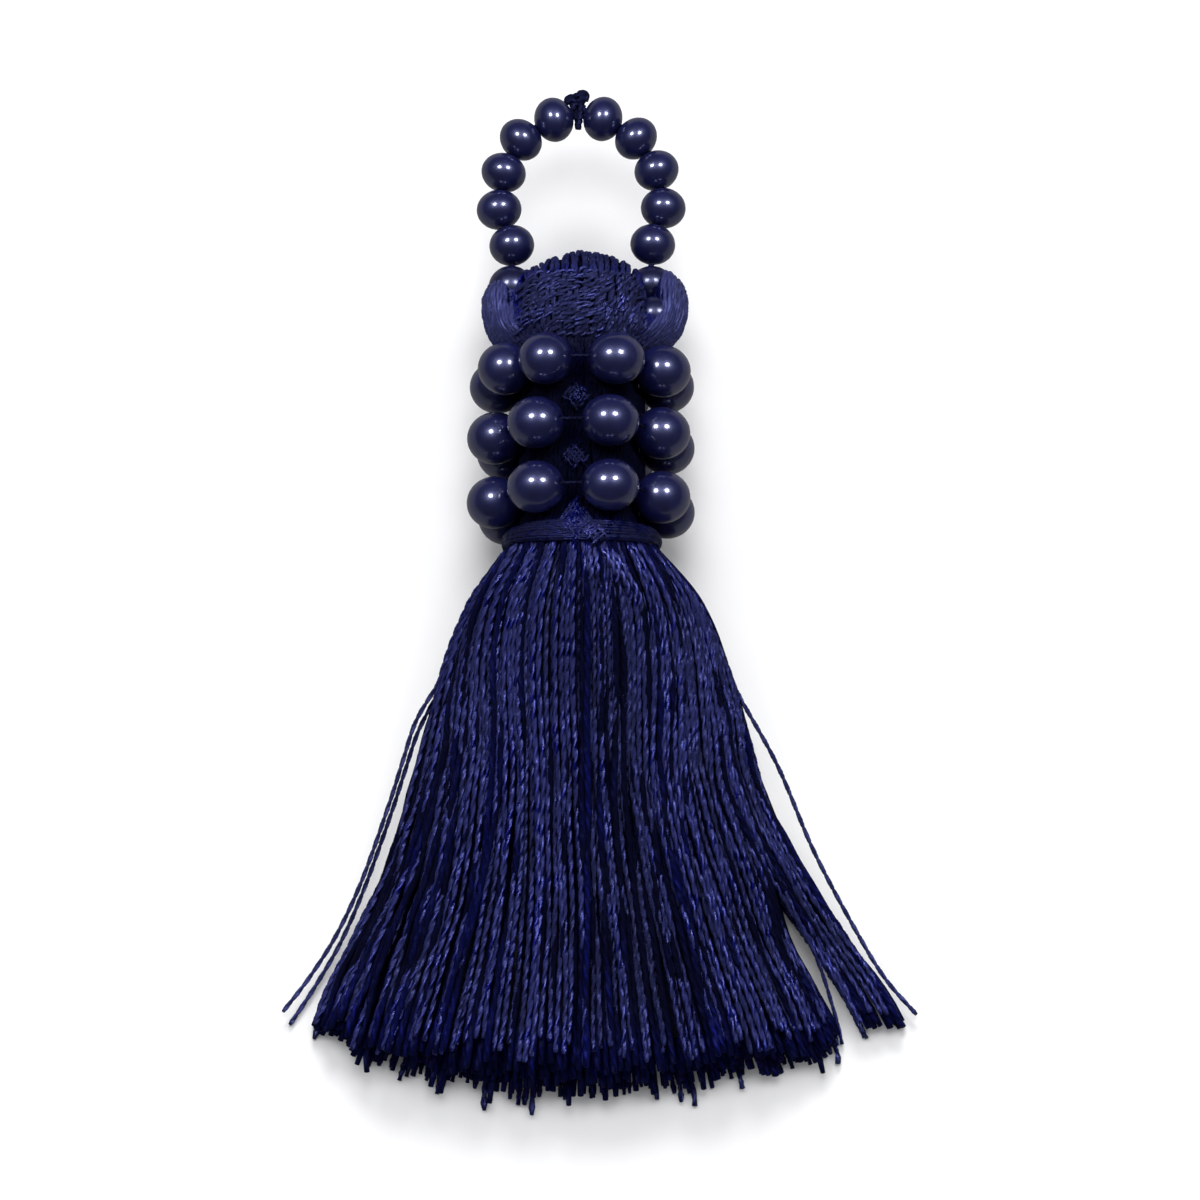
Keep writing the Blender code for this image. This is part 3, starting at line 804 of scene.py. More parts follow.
def fan(
    name,
    rings,
    f,
    seed,
    material,
    ply,
    pitch,
    gap,
    sizes,
    depth_top,
    depth_low,
    shade,
    short,
    ragged,
    radius=YARN_R,
    turn=YARN_TURN,
    wobble=0.14,
    stubs=0.0,
    bumps=0.30,
    spin=None,
    tips=1.0,
    half=None,
    thin=0.55,
):
    rng = np.random.default_rng(seed)
    run, table_w = face_length(f)
    places, group, across = bundles(rng, run[-1], pitch, gap, sizes)
    count = len(places)
    w_low = np.interp(places, run, table_w)[:, None]
    even = np.linspace(0, run[-1], count)
    w_high = np.interp(even, run, table_w)[:, None]
    w_high = w_high + rng.normal(0, 0.2 / count, w_high.shape)
    groups = group.max() + 1
    # rings closer together near the binding, where the yarns bend most
    s = np.linspace(0, 1, rings)
    s = (s * 0.80 + 0.20 * s**2)[None, :]
    gather = step(0.25, 0.85, s)
    lean = rng.normal(0, 0.006, (groups, 1))[group]
    own = rng.normal(0, 0.004, (count, 1))
    own = own + (rng.uniform(0, 1, (count, 1)) < 0.10) * rng.normal(0, 0.022, (count, 1))
    calm = 1 - 0.85 * np.exp(-np.abs(w_low - SLIT_W) / 0.05)
    w = mix(w_high, w_low, gather) + (lean + own) * calm * (s - 0.5) * 2
    w = np.clip(w, -0.995, 0.995)
    k, middle, across_lock = lock_of(w_low)
    offset = np.abs(w_low - middle) / across_lock
    # the face ends well above the hem in the middle, close to it at the sides
    x_low = w_low * np.where(w_low < 0, 24.0, 28.7)
    short = short * (0.36 + 0.64 * np.exp(-((x_low / 12.5) ** 2)))
    end = hem_y(w_low) + short - LOCKS[k, 1] * (1 - offset**2) * 0.8
    end = end + LOCKS[k, 2] * 0.25 * offset**3
    end = end + rng.normal(0, ragged, (groups, 1))[group]
    end = end + bumps * (across**2)[:, None] + rng.normal(0, ragged * 0.4, (count, 1))
    if stubs:
        out = (rng.uniform(0, 1, (count, 1)) < stubs) & (w_low < SLIT_W)
        end = end - out * (0.3 + 1.7 * rng.uniform(0, 1, (count, 1)) ** 2)
    # at the binding only some yarns lie outermost; the others rise to the face lower down
    order = rng.permuted(np.arange(count) % 5)[:, None] / 4.0
    rise = step(-0.05, 0.20 + 0.40 * order, s)
    high = rng.uniform(0, 1, (groups, 1))[group]
    one = rng.uniform(0, 1, (count, 1)) ** 1.3
    low_depth = depth_low * (0.45 * high + 0.55 * one) + 0.26 * (across**2)[:, None]
    dips = rng.uniform(0, 2 * np.pi, (2, count, 1))
    dips = np.sin(dips[0] + 2 * np.pi * 3.2 * s) + 0.7 * np.sin(dips[1] + 2 * np.pi * 6.1 * s)
    low_depth = np.maximum(low_depth + 0.20 * dips * step(0.1, 0.4, s), 0.0)
    below = mix(depth_top * order, low_depth, rise) + radius * 0.8
    p, facing = skirt(w, s, f, end, depth=below, home=w_low)
    grow = step(0.02, 0.35, s)
    for n, amount in ((1, 1.0), (2, 0.7), (4, 0.45), (7, 0.22)):
        phase = rng.uniform(0, 2 * np.pi, (2, count, 1))
        size = wobble * amount * rng.uniform(0.3, 1.0, (2, count, 1))
        p[..., 0] += size[0] * grow * np.sin(phase[0] + 2 * np.pi * n * s)
        p[..., 2] += 0.7 * size[1] * grow * np.sin(phase[1] + 2 * np.pi * n * s)
    # the first ring is tucked under the binding
    p[:, 0, 1] = 1.7 + SIDE_RISE * np.sin(w[:, 0] * np.pi / 2) ** 2
    centre = np.array([0.0, 0.0, AXIS_Z])
    radial = p[:, 0] - centre
    radial[:, 1] = 0
    p[:, 0, [0, 2]] = centre[[0, 2]] + (
        radial * (6.3 / np.maximum(np.linalg.norm(radial, axis=1, keepdims=True), 6.3))
    )[:, [0, 2]]
    low = radius * 1.20
    p[..., 2] = np.maximum(p[..., 2], low)
    ends = np.ones((count, rings)) * rng.uniform(0.90, 1.08, (count, 1))
    lump = rng.uniform(0, 2 * np.pi, (count, 1))
    ends *= 1 + 0.05 * np.sin(lump + 2 * np.pi * 9 * s)
    ends[:, -1] *= 0.86
    ends[:, -2] *= 1.06
    # painted shade: the layer's own shade, darker still for yarns that lie under others
    hidden = np.clip((below - radius * 0.8) / 1.1, 0, 1)
    deep_shade = np.clip(shade + 0.95 * hidden**1.2, 0, 1)
    turns = turn * rng.uniform(0.80, 1.30, (count, 1))
    tone = np.clip(rng.uniform(0, 1, (count, 1)) ** 1.4, 0, 1)
    # the right lock is thin, and light comes through it
    here = (w_low[:, 0] < SLIT_W) | (rng.uniform(0, 1, count) < thin)
    every = np.arange(count)
    parts = [(name, every[here])]
    if half:
        parts = [
            (name + "_left", every[here & (every < count // 2)]),
            (name + "_right", every[here & (every >= count // 2)]),
        ]
    return [
        tubes(
            part,
            p[take],
            facing[take],
            radius,
            material,
            ply=ply,
            rng=rng,
            depth=deep_shade[take],
            taper=ends[take],
            turn=turns[take],
            tone=tone[take],
            spin=spin,
            along=(0.0, tips),
        )
        for part, take in parts
    ]


LAYERS = [
    dict(
        name="skirt_face",
        rings=176,
        f=0.0,
        seed=11,
        material=YARN,
        ply=PLY_8,
        pitch=0.54,
        gap=(0.05, 0.80),
        sizes=(1, 2, 2, 3, 4),
        radius=0.27,
        turn=2.75,
        depth_top=0.90,
        depth_low=1.0,
        shade=0.0,
        thin=0.8,
        short=3.7,
        ragged=0.70,
        bumps=0.55,
        tips=0.94,
        half=True,
    ),
    dict(
        name="skirt_second",
        rings=56,
        f=0.0,
        seed=12,
        material=INNER,
        ply=ROUND_6,
        pitch=0.58,
        gap=(0.05, 0.35),
        sizes=(2, 3, 4),
        depth_top=1.6,
        depth_low=1.60,
        shade=0.42,
        short=2.6,
        ragged=0.5,
        spin=3.0,
        tips=0.98,
    ),
    dict(
        name="skirt_third",
        rings=34,
        f=0.30,
        seed=13,
        material=INNER,
        ply=ROUND_6,
        pitch=0.56,
        gap=(0.0, 0.1),
        sizes=(3, 4, 5),
        depth_top=1.6,
        depth_low=1.2,
        shade=0.85,
        short=2.0,
        ragged=0.30,
        spin=3.0,
    ),
    dict(
        name="skirt_fourth",
        rings=34,
        f=0.52,
        seed=14,
        material=INNER,
        ply=ROUND_6,
        pitch=0.54,
        gap=(0.0, 0.05),
        sizes=(3, 4, 5),
        depth_top=1.2,
        depth_low=0.8,
        shade=0.82,
        short=1.55,
        ragged=0.22,
        stubs=0.06,
        spin=3.0,
    ),
    dict(
        name="skirt_fifth",
        rings=34,
        f=0.76,
        seed=15,
        material=INNER,
        ply=ROUND_6,
        pitch=0.52,
        gap=(0.0, 0.05),
        sizes=(3, 4, 5),
        depth_top=1.0,
        depth_low=0.5,
        shade=0.75,
        short=1.30,
        ragged=0.18,
        stubs=0.14,
        spin=3.0,
    ),
    dict(
        name="skirt_underside",
        rings=88,
        f=1.0,
        seed=16,
        material=YARN,
        ply=PLY_6,
        pitch=0.56,
        gap=(0.0, 0.12),
        sizes=(2, 3, 4, 5),
        depth_top=0.5,
        depth_low=0.3,
        shade=0.15,
        short=1.20,
        ragged=0.20,
        stubs=0.16,
    ),
]
for row in LAYERS:
    for piece in fan(**row):
        keep(piece, "yarn", "yarn_hank")

# --- head and neck --------------------------------------------------------


def groove_radius(y):
    y = np.asarray(y, float)
    r = np.full(y.shape, NECK_R)
    reach = ROW_BEAD_R + GAP + 0.10
    for row in BEAD_ROWS:
        d = np.abs(y - row["y"])
        hollow = ROW_RING_R - np.sqrt(np.maximum(reach**2 - d**2, 0.0))
        r = np.where(d < reach, np.minimum(r, hollow), r)
    return np.maximum(r, 5.15)


HEAD_SIDE = [(20.4, 6.65), (21.05, 7.40), (21.55, 8.00), (22.70, 8.90), (24.3, 9.35)]
HEAD_TALL = [(20.4, 6.60), (21.05, 7.15), (21.55, 7.60), (22.70, 7.95), (24.3, 8.00)]


def head_sizes(y):
    side = soft_table(*zip(*HEAD_SIDE), y)
    tall = soft_table(*zip(*HEAD_TALL), y)
    neck = groove_radius(y)
    on = step(19.9, 20.5, y)
    return mix(neck, side, on), mix(neck, tall, on)


def crease(x, y):
    return np.exp(-(((np.abs(x) - CREASE_X) / CREASE_W) ** 2)) * step(21.3, 25.2, y)


def crease_top(x):
    return mix(CREASE_TOP[0], CREASE_TOP[1], step(-1.0, 1.0, x))


def head_front(x, y):
    """Height of the head's upper face above its axis."""
    rx, rz = head_sizes(np.minimum(y, HEAD_WIDE_Y))
    centre = HEAD_SHIFT_X * step(19.5, HEAD_WIDE_Y, y)
    share = np.clip((x - centre) / rx, -0.999, 0.999)
    top = soft_table(FOLD[:, 0], FOLD[:, 1], x)
    rise = np.clip((y - HEAD_WIDE_Y) / np.maximum(top - HEAD_WIDE_Y, 0.05), 0, 0.999)
    half = rz * np.sqrt(1 - share**2) * np.sqrt(1 - rise**2)
    return half * (1 - crease_top(x) * crease(x, y))


def meridian(phi, rings_neck, rings_head, rings_fold, below, side_shift):
    """Yarns from the binding up the front, over the fold and down the back."""
    t = np.concatenate(
        [
            np.linspace(2.2, 20.0, rings_neck, endpoint=False),
            np.linspace(20.0, HEAD_WIDE_Y, rings_head, endpoint=False),
        ]
    )
    rise = np.linspace(0, 1, rings_fold, endpoint=False)
    y_up = np.concatenate([t, np.full(rings_fold, HEAD_WIDE_Y)])
    r_up = np.concatenate([np.zeros(len(t)), rise])
    y_all = np.concatenate([y_up, [HEAD_WIDE_Y], y_up[::-1]])[None, :]
    r_all = np.concatenate([r_up, [1.0], r_up[::-1]])[None, :]
    upper = np.concatenate(
        [np.ones(len(y_up)), [0.0], -np.ones(len(y_up))]
    )[None, :]
    rx, rz = head_sizes(y_all)
    phi = phi + side_shift
    x = np.sin(phi) * rx + HEAD_SHIFT_X * step(19.5, HEAD_WIDE_Y, y_all)
    top = soft_table(FOLD[:, 0], FOLD[:, 1], x)
    y = np.where(
        r_all > 0,
        HEAD_WIDE_Y + (top - HEAD_WIDE_Y) * np.sin(r_all * np.pi / 2),
        y_all,
    )
    half = rz * np.cos(phi) * np.cos(r_all * np.pi / 2)
    dent = np.where(upper >= 0, crease_top(x), CREASE_UNDER)
    half = half * (1 - dent * crease(x, y))
    z = AXIS_Z + upper * half
    p = np.stack([x, y + 0 * x, z + 0 * x], axis=-1)
    centre = np.stack(
        [
            x * 0.15,
            np.minimum(y, HEAD_WIDE_Y - 1.0),
            np.full_like(x, AXIS_Z),
        ],
        axis=-1,
    )
    facing = unit(p - centre)
    return p - facing * below[..., None], facing


def head_yarns(
    name, count, seed, material, ply, base_depth, shade, rings=(30, 15, 20), radius=0.30
):
    """Yarns over the whole hank; smoother on its two side lobes, which a painted sheen makes
    paler.
    """
    rng = np.random.default_rng(seed)
    phi = (np.arange(count) + 0.5) / count * np.pi - np.pi / 2
    phi = (phi + rng.normal(0, 0.25 * np.pi / count, count))[:, None]
    total = 2 * sum(rings) + 1
    t = np.linspace(0, 1, total)[None, :]
    sway = np.zeros((count, total))
    for n, amount in ((2, 0.5), (5, 0.35), (9, 0.2)):
        phase = rng.uniform(0, 2 * np.pi, (count, 1))
        sway += amount * np.sin(phase + 2 * np.pi * n * t)
    sway *= 0.035
    below = radius + base_depth + rng.uniform(0.0, 0.08, (count, 1))
    ripple = 0.03 * np.sin(rng.uniform(0, 2 * np.pi, (count, 1)) + 2 * np.pi * 6 * t)
    p, facing = meridian(phi, *rings, below=below + ripple, side_shift=sway)
    y = p[..., 1]
    # painted shade: little light comes in between the rows of beads
    under = step(20.9, 19.6, y) * step(3.4, 4.4, y)
    middle = step(6.0, 4.5, np.abs(p[..., 0])) * (y > 19.5)
    # painted shade on the top of the dome and under the short runs of the knob
    dome = middle * step(26.0, 27.5, y) * 0.55
    knob = middle * step(26.6, 25.6, y) * (p[..., 2] > AXIS_Z) * 0.80
    deep_shade = np.clip(shade + under * 1.0 + dome + knob, 0, 1)
    # painted sheen: the yarns on the side lobes take the lightest tone
    lobe = step(6.5, 8.0, np.abs(p[..., 0]))
    tone = mix(rng.uniform(0, 0.8, (count, 1)), 1.0, lobe * (y > 20))
    side = np.abs(np.sin(phi[:, 0])) > 0.74
    every = np.ones(count, bool)
    last = total - rings[0]
    neck_up, neck_down = slice(0, rings[0] + 1), slice(last - 1, total)
    parts = [(name, every, slice(0, total), material)]
    if not base_depth:
        over = slice(rings[0] - 1, last + 1)
        parts = [
            (name, ~side, over, material),
            (name + "_lobes", side, over, PAINTED_SHEEN),
            (name + "_neck_front", every, neck_up, INNER),
            (name + "_neck_back", every, neck_down, INNER),
        ]
    return [
        tubes(
            part,
            p[take][:, span],
            facing[take][:, span],
            radius,
            looks,
            ply=ply,
            rng=rng,
            depth=deep_shade[take][:, span],
            turn=2.9,
            tone=tone[take][:, span],
        )
        for part, take, span, looks in parts
    ]


for piece in head_yarns(
    "head_face", 78, 21, YARN, PLY_SOFT, 0.0, 0.05, rings=(22, 13, 18), radius=0.25
) + head_yarns("head_second", 50, 22, INNER, PLY_6, 0.42, 0.6, rings=(18, 9, 12)):
    keep(piece, "yarn", "yarn_hank")


def knob_yarns(seed):
    """Short runs of yarn that show between others on the round of the head, in a colour with
    painted glints.
    """
    rng = np.random.default_rng(seed)
    rings = 11
    t = np.linspace(-1, 1, rings)[None, :]
    starts = []
    for row, y in enumerate(np.arange(20.6, 26.6, 0.40)):
        for x in np.arange(-5.6, 5.7, 0.64):
            starts.append(
                (
                    x + (row % 2) * 0.32 + rng.normal(0, 0.13),
                    y + rng.normal(0, 0.08),
                )
            )
    starts = np.array(starts)
    top = soft_table(FOLD[:, 0], FOLD[:, 1], starts[:, 0])
    starts = starts[starts[:, 1] < top - 2.1]
    count = len(starts)
    x0, y0 = starts[:, :1], starts[:, 1:]
    angle = np.radians(
        mix(mix(38.0, 20.0, step(-3.5, -1.0, x0)), 64.0, step(0.6, 3.8, x0))
        + rng.normal(0, 7, (count, 1))
    )
    half = rng.uniform(0.30, 0.54, (count, 1))
    bow = rng.normal(0, 0.05, (count, 1))
    x = x0 + np.cos(angle) * half * t - np.sin(angle) * bow * (1 - t**2)
    y = y0 + np.sin(angle) * half * t + np.cos(angle) * bow * (1 - t**2)
    z = head_front(x, y)
    e = 0.05
    slope_x = (head_front(x + e, y) - head_front(x - e, y)) / (2 * e)
    slope_y = (head_front(x, y + e) - head_front(x, y - e)) / (2 * e)
    facing = unit(np.stack([-slope_x, -slope_y, np.ones_like(x)], axis=-1))
    up = 0.10 - 0.34 * t**4 - 0.26 * rng.uniform(0, 1, (count, 1))
    p = np.stack([x, y, AXIS_Z + z], axis=-1) + facing * up[..., None]
    return tubes(
        "head_knob",
        p,
        facing,
        0.145 * (1 - 0.35 * t**4) * np.ones((count, 1)),
        PAINTED_GLINT,
        ply=ROUND_6,
        rng=rng,
        depth=rng.uniform(0.0, 0.95, (count, 1)),
        turn=4.0,
        tone=rng.uniform(0.0, 1.0, (count, 1)),
    )


keep(knob_yarns(31), "yarn", "yarn_hank")

# --- core under the yarns -------------------------------------------------


def core():
    phi = np.linspace(-np.pi, np.pi, 72, endpoint=False)
    sections = []
    # skirt
    for s in (0.90, 0.86, 0.80, 0.68, 0.56, 0.44, 0.32, 0.22, 0.13, 0.06, 0.0):
        shrink = mix(1.4, 2.3, s)
        w = np.where(
            np.abs(phi) <= np.pi / 2,
            phi / (np.pi / 2),
            np.sign(phi) * (np.pi - np.abs(phi)) / (np.pi / 2),
        )
        f = (np.abs(phi) > np.pi / 2).astype(float)
        w = w * mix(0.96, 0.72, float(step(0.45, 0.75, s)))
        end = hem_y(w)
        p, _ = skirt(w[:, None], np.full((1, 1), s), f[:, None], end[:, None])
        p = p[:, 0]
        middle = p.mean(axis=0)
        middle[0] = 0.0
        p[:, 2] = np.where(
            f > 0.5,
            np.minimum(p[:, 2] + shrink, middle[2]),
            np.maximum(p[:, 2] - shrink, np.minimum(middle[2], 1.4)),
        )
        p[:, 0] *= 0.955
        sections.append(p)
    for y in np.concatenate([np.linspace(1.2, 20.0, 34), [20.6, 21.2, 22.0, 23.2, 24.3]]):
        rx, rz = head_sizes(np.array(y))
        inset = 0.75
        sections.append(
            np.stack(
                [
                    np.sin(phi) * (rx - inset)
                    + HEAD_SHIFT_X * step(19.5, HEAD_WIDE_Y, y),
                    np.full_like(phi, y),
                    AXIS_Z + np.cos(phi) * (rz - inset) * 0.98,
                ],
                axis=1,
            )
        )
    wide = sections[-1]
    for rise in (0.2, 0.4, 0.6, 0.75, 0.88, 0.97):
        x = wide[:, 0]
        top = soft_table(FOLD[:, 0], FOLD[:, 1], x) - 0.9
        half = (wide[:, 2] - AXIS_Z) * math.cos(rise * math.pi / 2)
        dent = np.where(half >= 0, crease_top(x), CREASE_UNDER)
        y = HEAD_WIDE_Y + np.maximum(top - HEAD_WIDE_Y, 0.02) * math.sin(
            rise * math.pi / 2
        )
        half = half * (1 - dent * crease(x, y))
        sections.append(np.stack([x, y, AXIS_Z + half], axis=1))
    for p in sections:
        inside = crease(p[:, 0], p[:, 1])
        dent = np.where(p[:, 2] > AXIS_Z, crease_top(p[:, 0]) + 0.05, 0.4)
        p[:, 2] = AXIS_Z + (p[:, 2] - AXIS_Z) * np.where(
            (p[:, 1] > 21.3) & (p[:, 1] < HEAD_WIDE_Y + 0.01), 1 - dent * inside, 1.0
        )
    grid = np.array(sections)
    rows, cols, _ = grid.shape
    index = np.arange(rows * cols).reshape(rows, cols)
    after = np.roll(index, -1, axis=1)
    quads = np.stack([index[:-1], index[1:], after[1:], after[:-1]], -1).reshape(-1, 4)
    low = rows * cols
    verts = np.concatenate(
        [grid.reshape(-1, 3), [grid[0].mean(axis=0)], [grid[-1].mean(axis=0)]]
    )
    ends = [
        np.stack([np.full(cols, low), index[0], after[0]], -1),
        np.stack([np.full(cols, low + 1), after[-1], index[-1]], -1),
    ]
    colours = np.tile([0.5, 0.4, 0.85, 1.0], (len(verts), 1))
    return verts, [quads, *ends], colours


def core_material():
    n = Nodes("core")
    coords = n.add("ShaderNodeTexCoord")
    lines = n.add(
        "ShaderNodeMapping",
        {"Vector": coords.outputs["Object"], "Scale": (1900.0, 120.0, 900.0)},
    )
    grain = n.add(
        "ShaderNodeTexNoise", {"Vector": lines.outputs[0], "Scale": 1.0, "Detail": 3.0}
    )
    # near black: painted shade, as the core stands for yarns lying far inside the hank
    colour = n.blend(
        grain.outputs[0], (0.0008, 0.0008, 0.004, 1), (0.0035, 0.0035, 0.022, 1)
    )
    n.put(n.shader, "Base Color", colour)
    bumped = n.add(
        "ShaderNodeBump",
        {"Strength": 0.8, "Distance": 0.0002, "Height": grain.outputs[0]},
    )
    n.put(n.shader, "Normal", bumped.outputs[0])
    n.set(Roughness=0.75, Specular_IOR_Level=0.2)
    return n.mat


verts, faces, colours = core()
piece = mesh_piece("hank_core", place(verts), faces, core_material())
keep(piece, "yarn", "yarn_hank")

# --- binding --------------------------------------------------------------


def winding(name, turns, y0, y1, radius, thick, seed, points=110):
    rng = np.random.default_rng(seed)
    n = int(turns * points)
    a = np.linspace(0, 2 * np.pi * turns, n) + rng.uniform(0, 6)
    f = np.linspace(0, 1, n)
    y = mix(y0, y1, f) + 0.05 * np.sin(a * 1.31 + 1.0) + 0.03 * np.sin(a * 2.7)
    y = y + np.sin(a) ** 2 * mix(SIDE_RISE, 0.32, (y - BINDING_Y[0]) / 2.2)
    r = radius + 0.06 * np.sin(a * 0.77 + 2.0) + 0.04 * np.sin(a * 3.1)
    r = r - 0.26 * np.abs(2 * f - 1) ** 3
    r = np.where(f < 0.02, r - 0.5 * (1 - f / 0.02), r)
    r = np.where(f > 0.98, r - 0.5 * (f - 0.98) / 0.02, r)
    p = np.stack([r * np.sin(a), y, AXIS_Z + r * np.cos(a)], axis=-1)[None]
    facing = np.stack([np.sin(a), 0 * a, np.cos(a)], axis=-1)[None]
    return tubes(
        name, p, facing, thick, WOUND, ply=PLY_SOFT, rng=rng, turn=2.6, along=(0.2, 0.8)
    )


keep(winding("binding_inner", 7.4, 1.50, 3.25, 6.70, 0.22, 41), "binding", "binding")
keep(winding("binding_outer", 9.6, 3.28, 1.45, 6.98, 0.175, 42), "binding", "binding")

# --- crossed threads between the beads, yarns with painted glints under the binding ------


def crossings(
    name, cx, cy, half_x, half_y, radius, seed, looks, depth, lean=38.0, pitch=0.31, fall=0.0
):
    """A diamond of crossed yarns that shows on the front of the neck."""
    rng = np.random.default_rng(seed)
    rings = 15
    rows = []
    for sign in (-1.0, 1.0):
        a = math.radians(lean)
        way = np.array([sign * math.sin(a), math.cos(a)])
        across = np.array([way[1], -way[0]])
        for k in np.arange(-7, 8):
            centre = across * (k * pitch + rng.normal(0, 0.05))
            t = np.linspace(-2.2, 2.2, 221)
            q = centre + t[:, None] * way
            inside = np.abs(q[:, 0]) / half_x + np.abs(q[:, 1]) / half_y < 1
            if inside.sum() < 30:
                continue
            ragged = rng.normal(0.0, 0.28, 2)
            t = np.linspace(t[inside][0] + ragged[0], t[inside][-1] + ragged[1], rings)
            q = centre + t[:, None] * way
            weave = 0.07 * np.sin(t / pitch * np.pi + k * np.pi + (sign > 0) * np.pi)
            sink = 0.75 * (np.abs(np.linspace(-1, 1, rings)) ** 3)
            x, y = cx + q[:, 0], cy + q[:, 1]
            r = radius + weave - sink - fall * step(3.0, 4.5, y)
            rows.append(np.stack([x, y, AXIS_Z + np.sqrt(r**2 - x**2)], -1))
    p = np.array(rows)
    facing = np.stack([p[..., 0], 0 * p[..., 0], p[..., 2] - AXIS_Z], -1)
    return tubes(
        name, p, facing, 0.14, looks, ply=PLY_8, rng=rng, depth=depth, turn=1.5
    )


for piece in (
    crossings("neck_cross_upper", -0.50, 15.03, 1.30, 1.30, 6.15, 71, WOUND, 0.10),
    crossings("neck_cross_lower", -0.60, 9.31, 1.30, 1.30, 6.15, 72, WOUND, 0.10),
    crossings("binding_cross", -0.55, 3.50, 1.8, 2.2, 7.12, 73, YARN, 0.05, 30.0, fall=1.35),
    crossings("binding_glint", 1.25, 2.10, 1.3, 1.1, 7.27, 75, PAINTED_GLINT, 0.0, lean=50.0),
):
    keep(piece, "yarn", "yarn_hank")

s = np.linspace(0.0, 1.0, 34)[None, :]
ways = np.array(
    [
        # share at the top, share lower down, length, lift
        (0.060, 0.060, 0.066, 0.14),
        (0.105, 0.098, 0.058, 0.10),
        (0.165, 0.235, 0.070, 0.16),
        (0.205, 0.290, 0.100, 0.12),
        (0.240, 0.350, 0.120, 0.14),
    ]
)
w = mix(ways[:, :1], ways[:, 1:2], s)
down = 0.001 + ways[:, 2:3] * s
p, facing = skirt(w, down, 0.0, hem_y(w), depth=0.05 - ways[:, 3:4], grooves=0.0)
p = p - facing * (1.1 * np.abs(2 * s - 1) ** 4)[..., None]
# painted glints along the yarns just under the binding
keep(
    tubes(
        "skirt_streaks",
        p,
        facing,
        0.28,
        PAINTED_GLINT,
        ply=PLY_8,
        rng=np.random.default_rng(74),
        turn=2.0,
        tone=1.0,
    ),
    "yarn",
    "yarn_hank",
)

# --- beads ----------------------------------------------------------------


def bead(name, centre, way, radius, half, material, low=1.0, segments=40, rows=24):
    """A pearl with a bore along `way`; low flattens it along the tassel's axis."""
    way = unit(np.asarray(way, float))
    helper = np.array([0.0, 1.0, 0.0]) if abs(way[1]) < 0.8 else np.array([0.0, 0.0, 1.0])
    a = unit(np.cross(way, helper))
    b = np.cross(way, a)
    bore = 0.10
    first = math.acos(bore / radius)
    angles = np.linspace(-first, first, rows)
    rad = radius * np.cos(angles)
    t = half * np.sin(angles) / math.sin(first)
    # rounded lip and the wall of the bore
    lip = 0.03
    profile = (
        [(bore, -half * 0.35), (bore, -half + 0.22)]
        + [(bore + lip * 0.25, -half + 0.05)]
        + list(zip(rad[1:-1], t[1:-1]))
        + [(bore + lip * 0.25, half - 0.05)]
        + [(bore, half - 0.22), (bore, half * 0.35)]
    )
    profile = np.array(profile)
    rows = len(profile)
    phi = np.linspace(0, 2 * np.pi, segments, endpoint=False)
    ring = np.cos(phi)[:, None] * a + np.sin(phi)[:, None] * b
    ring[:, 1] *= low
    verts = (
        np.asarray(centre, float)
        + profile[:, 0][:, None, None] * ring[None]
        + profile[:, 1][:, None, None] * way
    ).reshape(-1, 3)
    index = np.arange(rows * segments).reshape(rows, segments)
    after = np.roll(index, -1, axis=1)
    below = np.roll(index, -1, axis=0)
    below_after = np.roll(after, -1, axis=0)
    quads = np.stack([index, after, below_after, below], -1).reshape(-1, 4)
    u = np.broadcast_to(phi / (2 * np.pi), (rows, segments))
    return mesh_piece(name, place(verts), [quads], material)


def bore_way(angle):
    """Along the row; on the side beads it leans toward the front neighbour."""
    signed = (angle + 180) % 360 - 180
    lean = 17.0 * float(step(45, 62, abs(signed)) * step(115, 95, abs(signed)))
    a = math.radians(signed - math.copysign(lean, signed))
    return math.cos(a), 0.0, -math.sin(a)


for row in BEAD_ROWS:
    for i, angle in enumerate(row["angles"]):
        a = math.radians(angle)
        node = f"{row['name']}_bead_{i + 1}"
        centre = (
            ROW_RING_R * math.sin(a),
            row["y"],
            AXIS_Z + ROW_RING_R * math.cos(a),
        )
        way = bore_way(angle)
        # as large as its neighbours and the floor leave room for
        others = row["angles"][i - 1], row["angles"][(i + 1) % len(row["angles"])]
        room = [
            ROW_RING_R * abs(math.sin(math.radians(angle - other) / 2)) - 0.01
            for other in others
        ]
        r = min(ROW_BEAD_LOOKS_R, centre[2] - 0.02)
        half = min(2.62, *room)
        keep(bead("pearl_" + node, centre, way, r, half, PEARL, 0.945), "bead", node)

chain = [LOOP_END_LEFT] + LOOP_LEFT[::-1] + LOOP_RIGHT + [LOOP_END_RIGHT]
chain_names = [f"loop_bead_l{i}" for i in range(len(LOOP_LEFT), 0, -1)] + [
    f"loop_bead_r{i + 1}" for i in range(len(LOOP_RIGHT))
]
chain = np.array(chain)
for i, node in enumerate(chain_names):
    at, before, after = chain[i + 1], chain[i], chain[i + 2]
    way = unit(after - before)
    gaps = []
    if i > 0:
        gaps.append(np.linalg.norm(at - before))
    if i < len(chain_names) - 1:
        gaps.append(np.linalg.norm(after - at))
    half = min(1.95, min(gaps) / 2 - 0.005)
    sunk = node in ("loop_bead_l6", "loop_bead_r6", "loop_bead_r7")
    piece = bead("pearl_" + node, at, way, LOOP_BEAD_LOOKS_R, half, SUNK_SHADED if sunk else PEARL)
    keep(piece, "bead", node)

# --- threads --------------------------------------------------------------


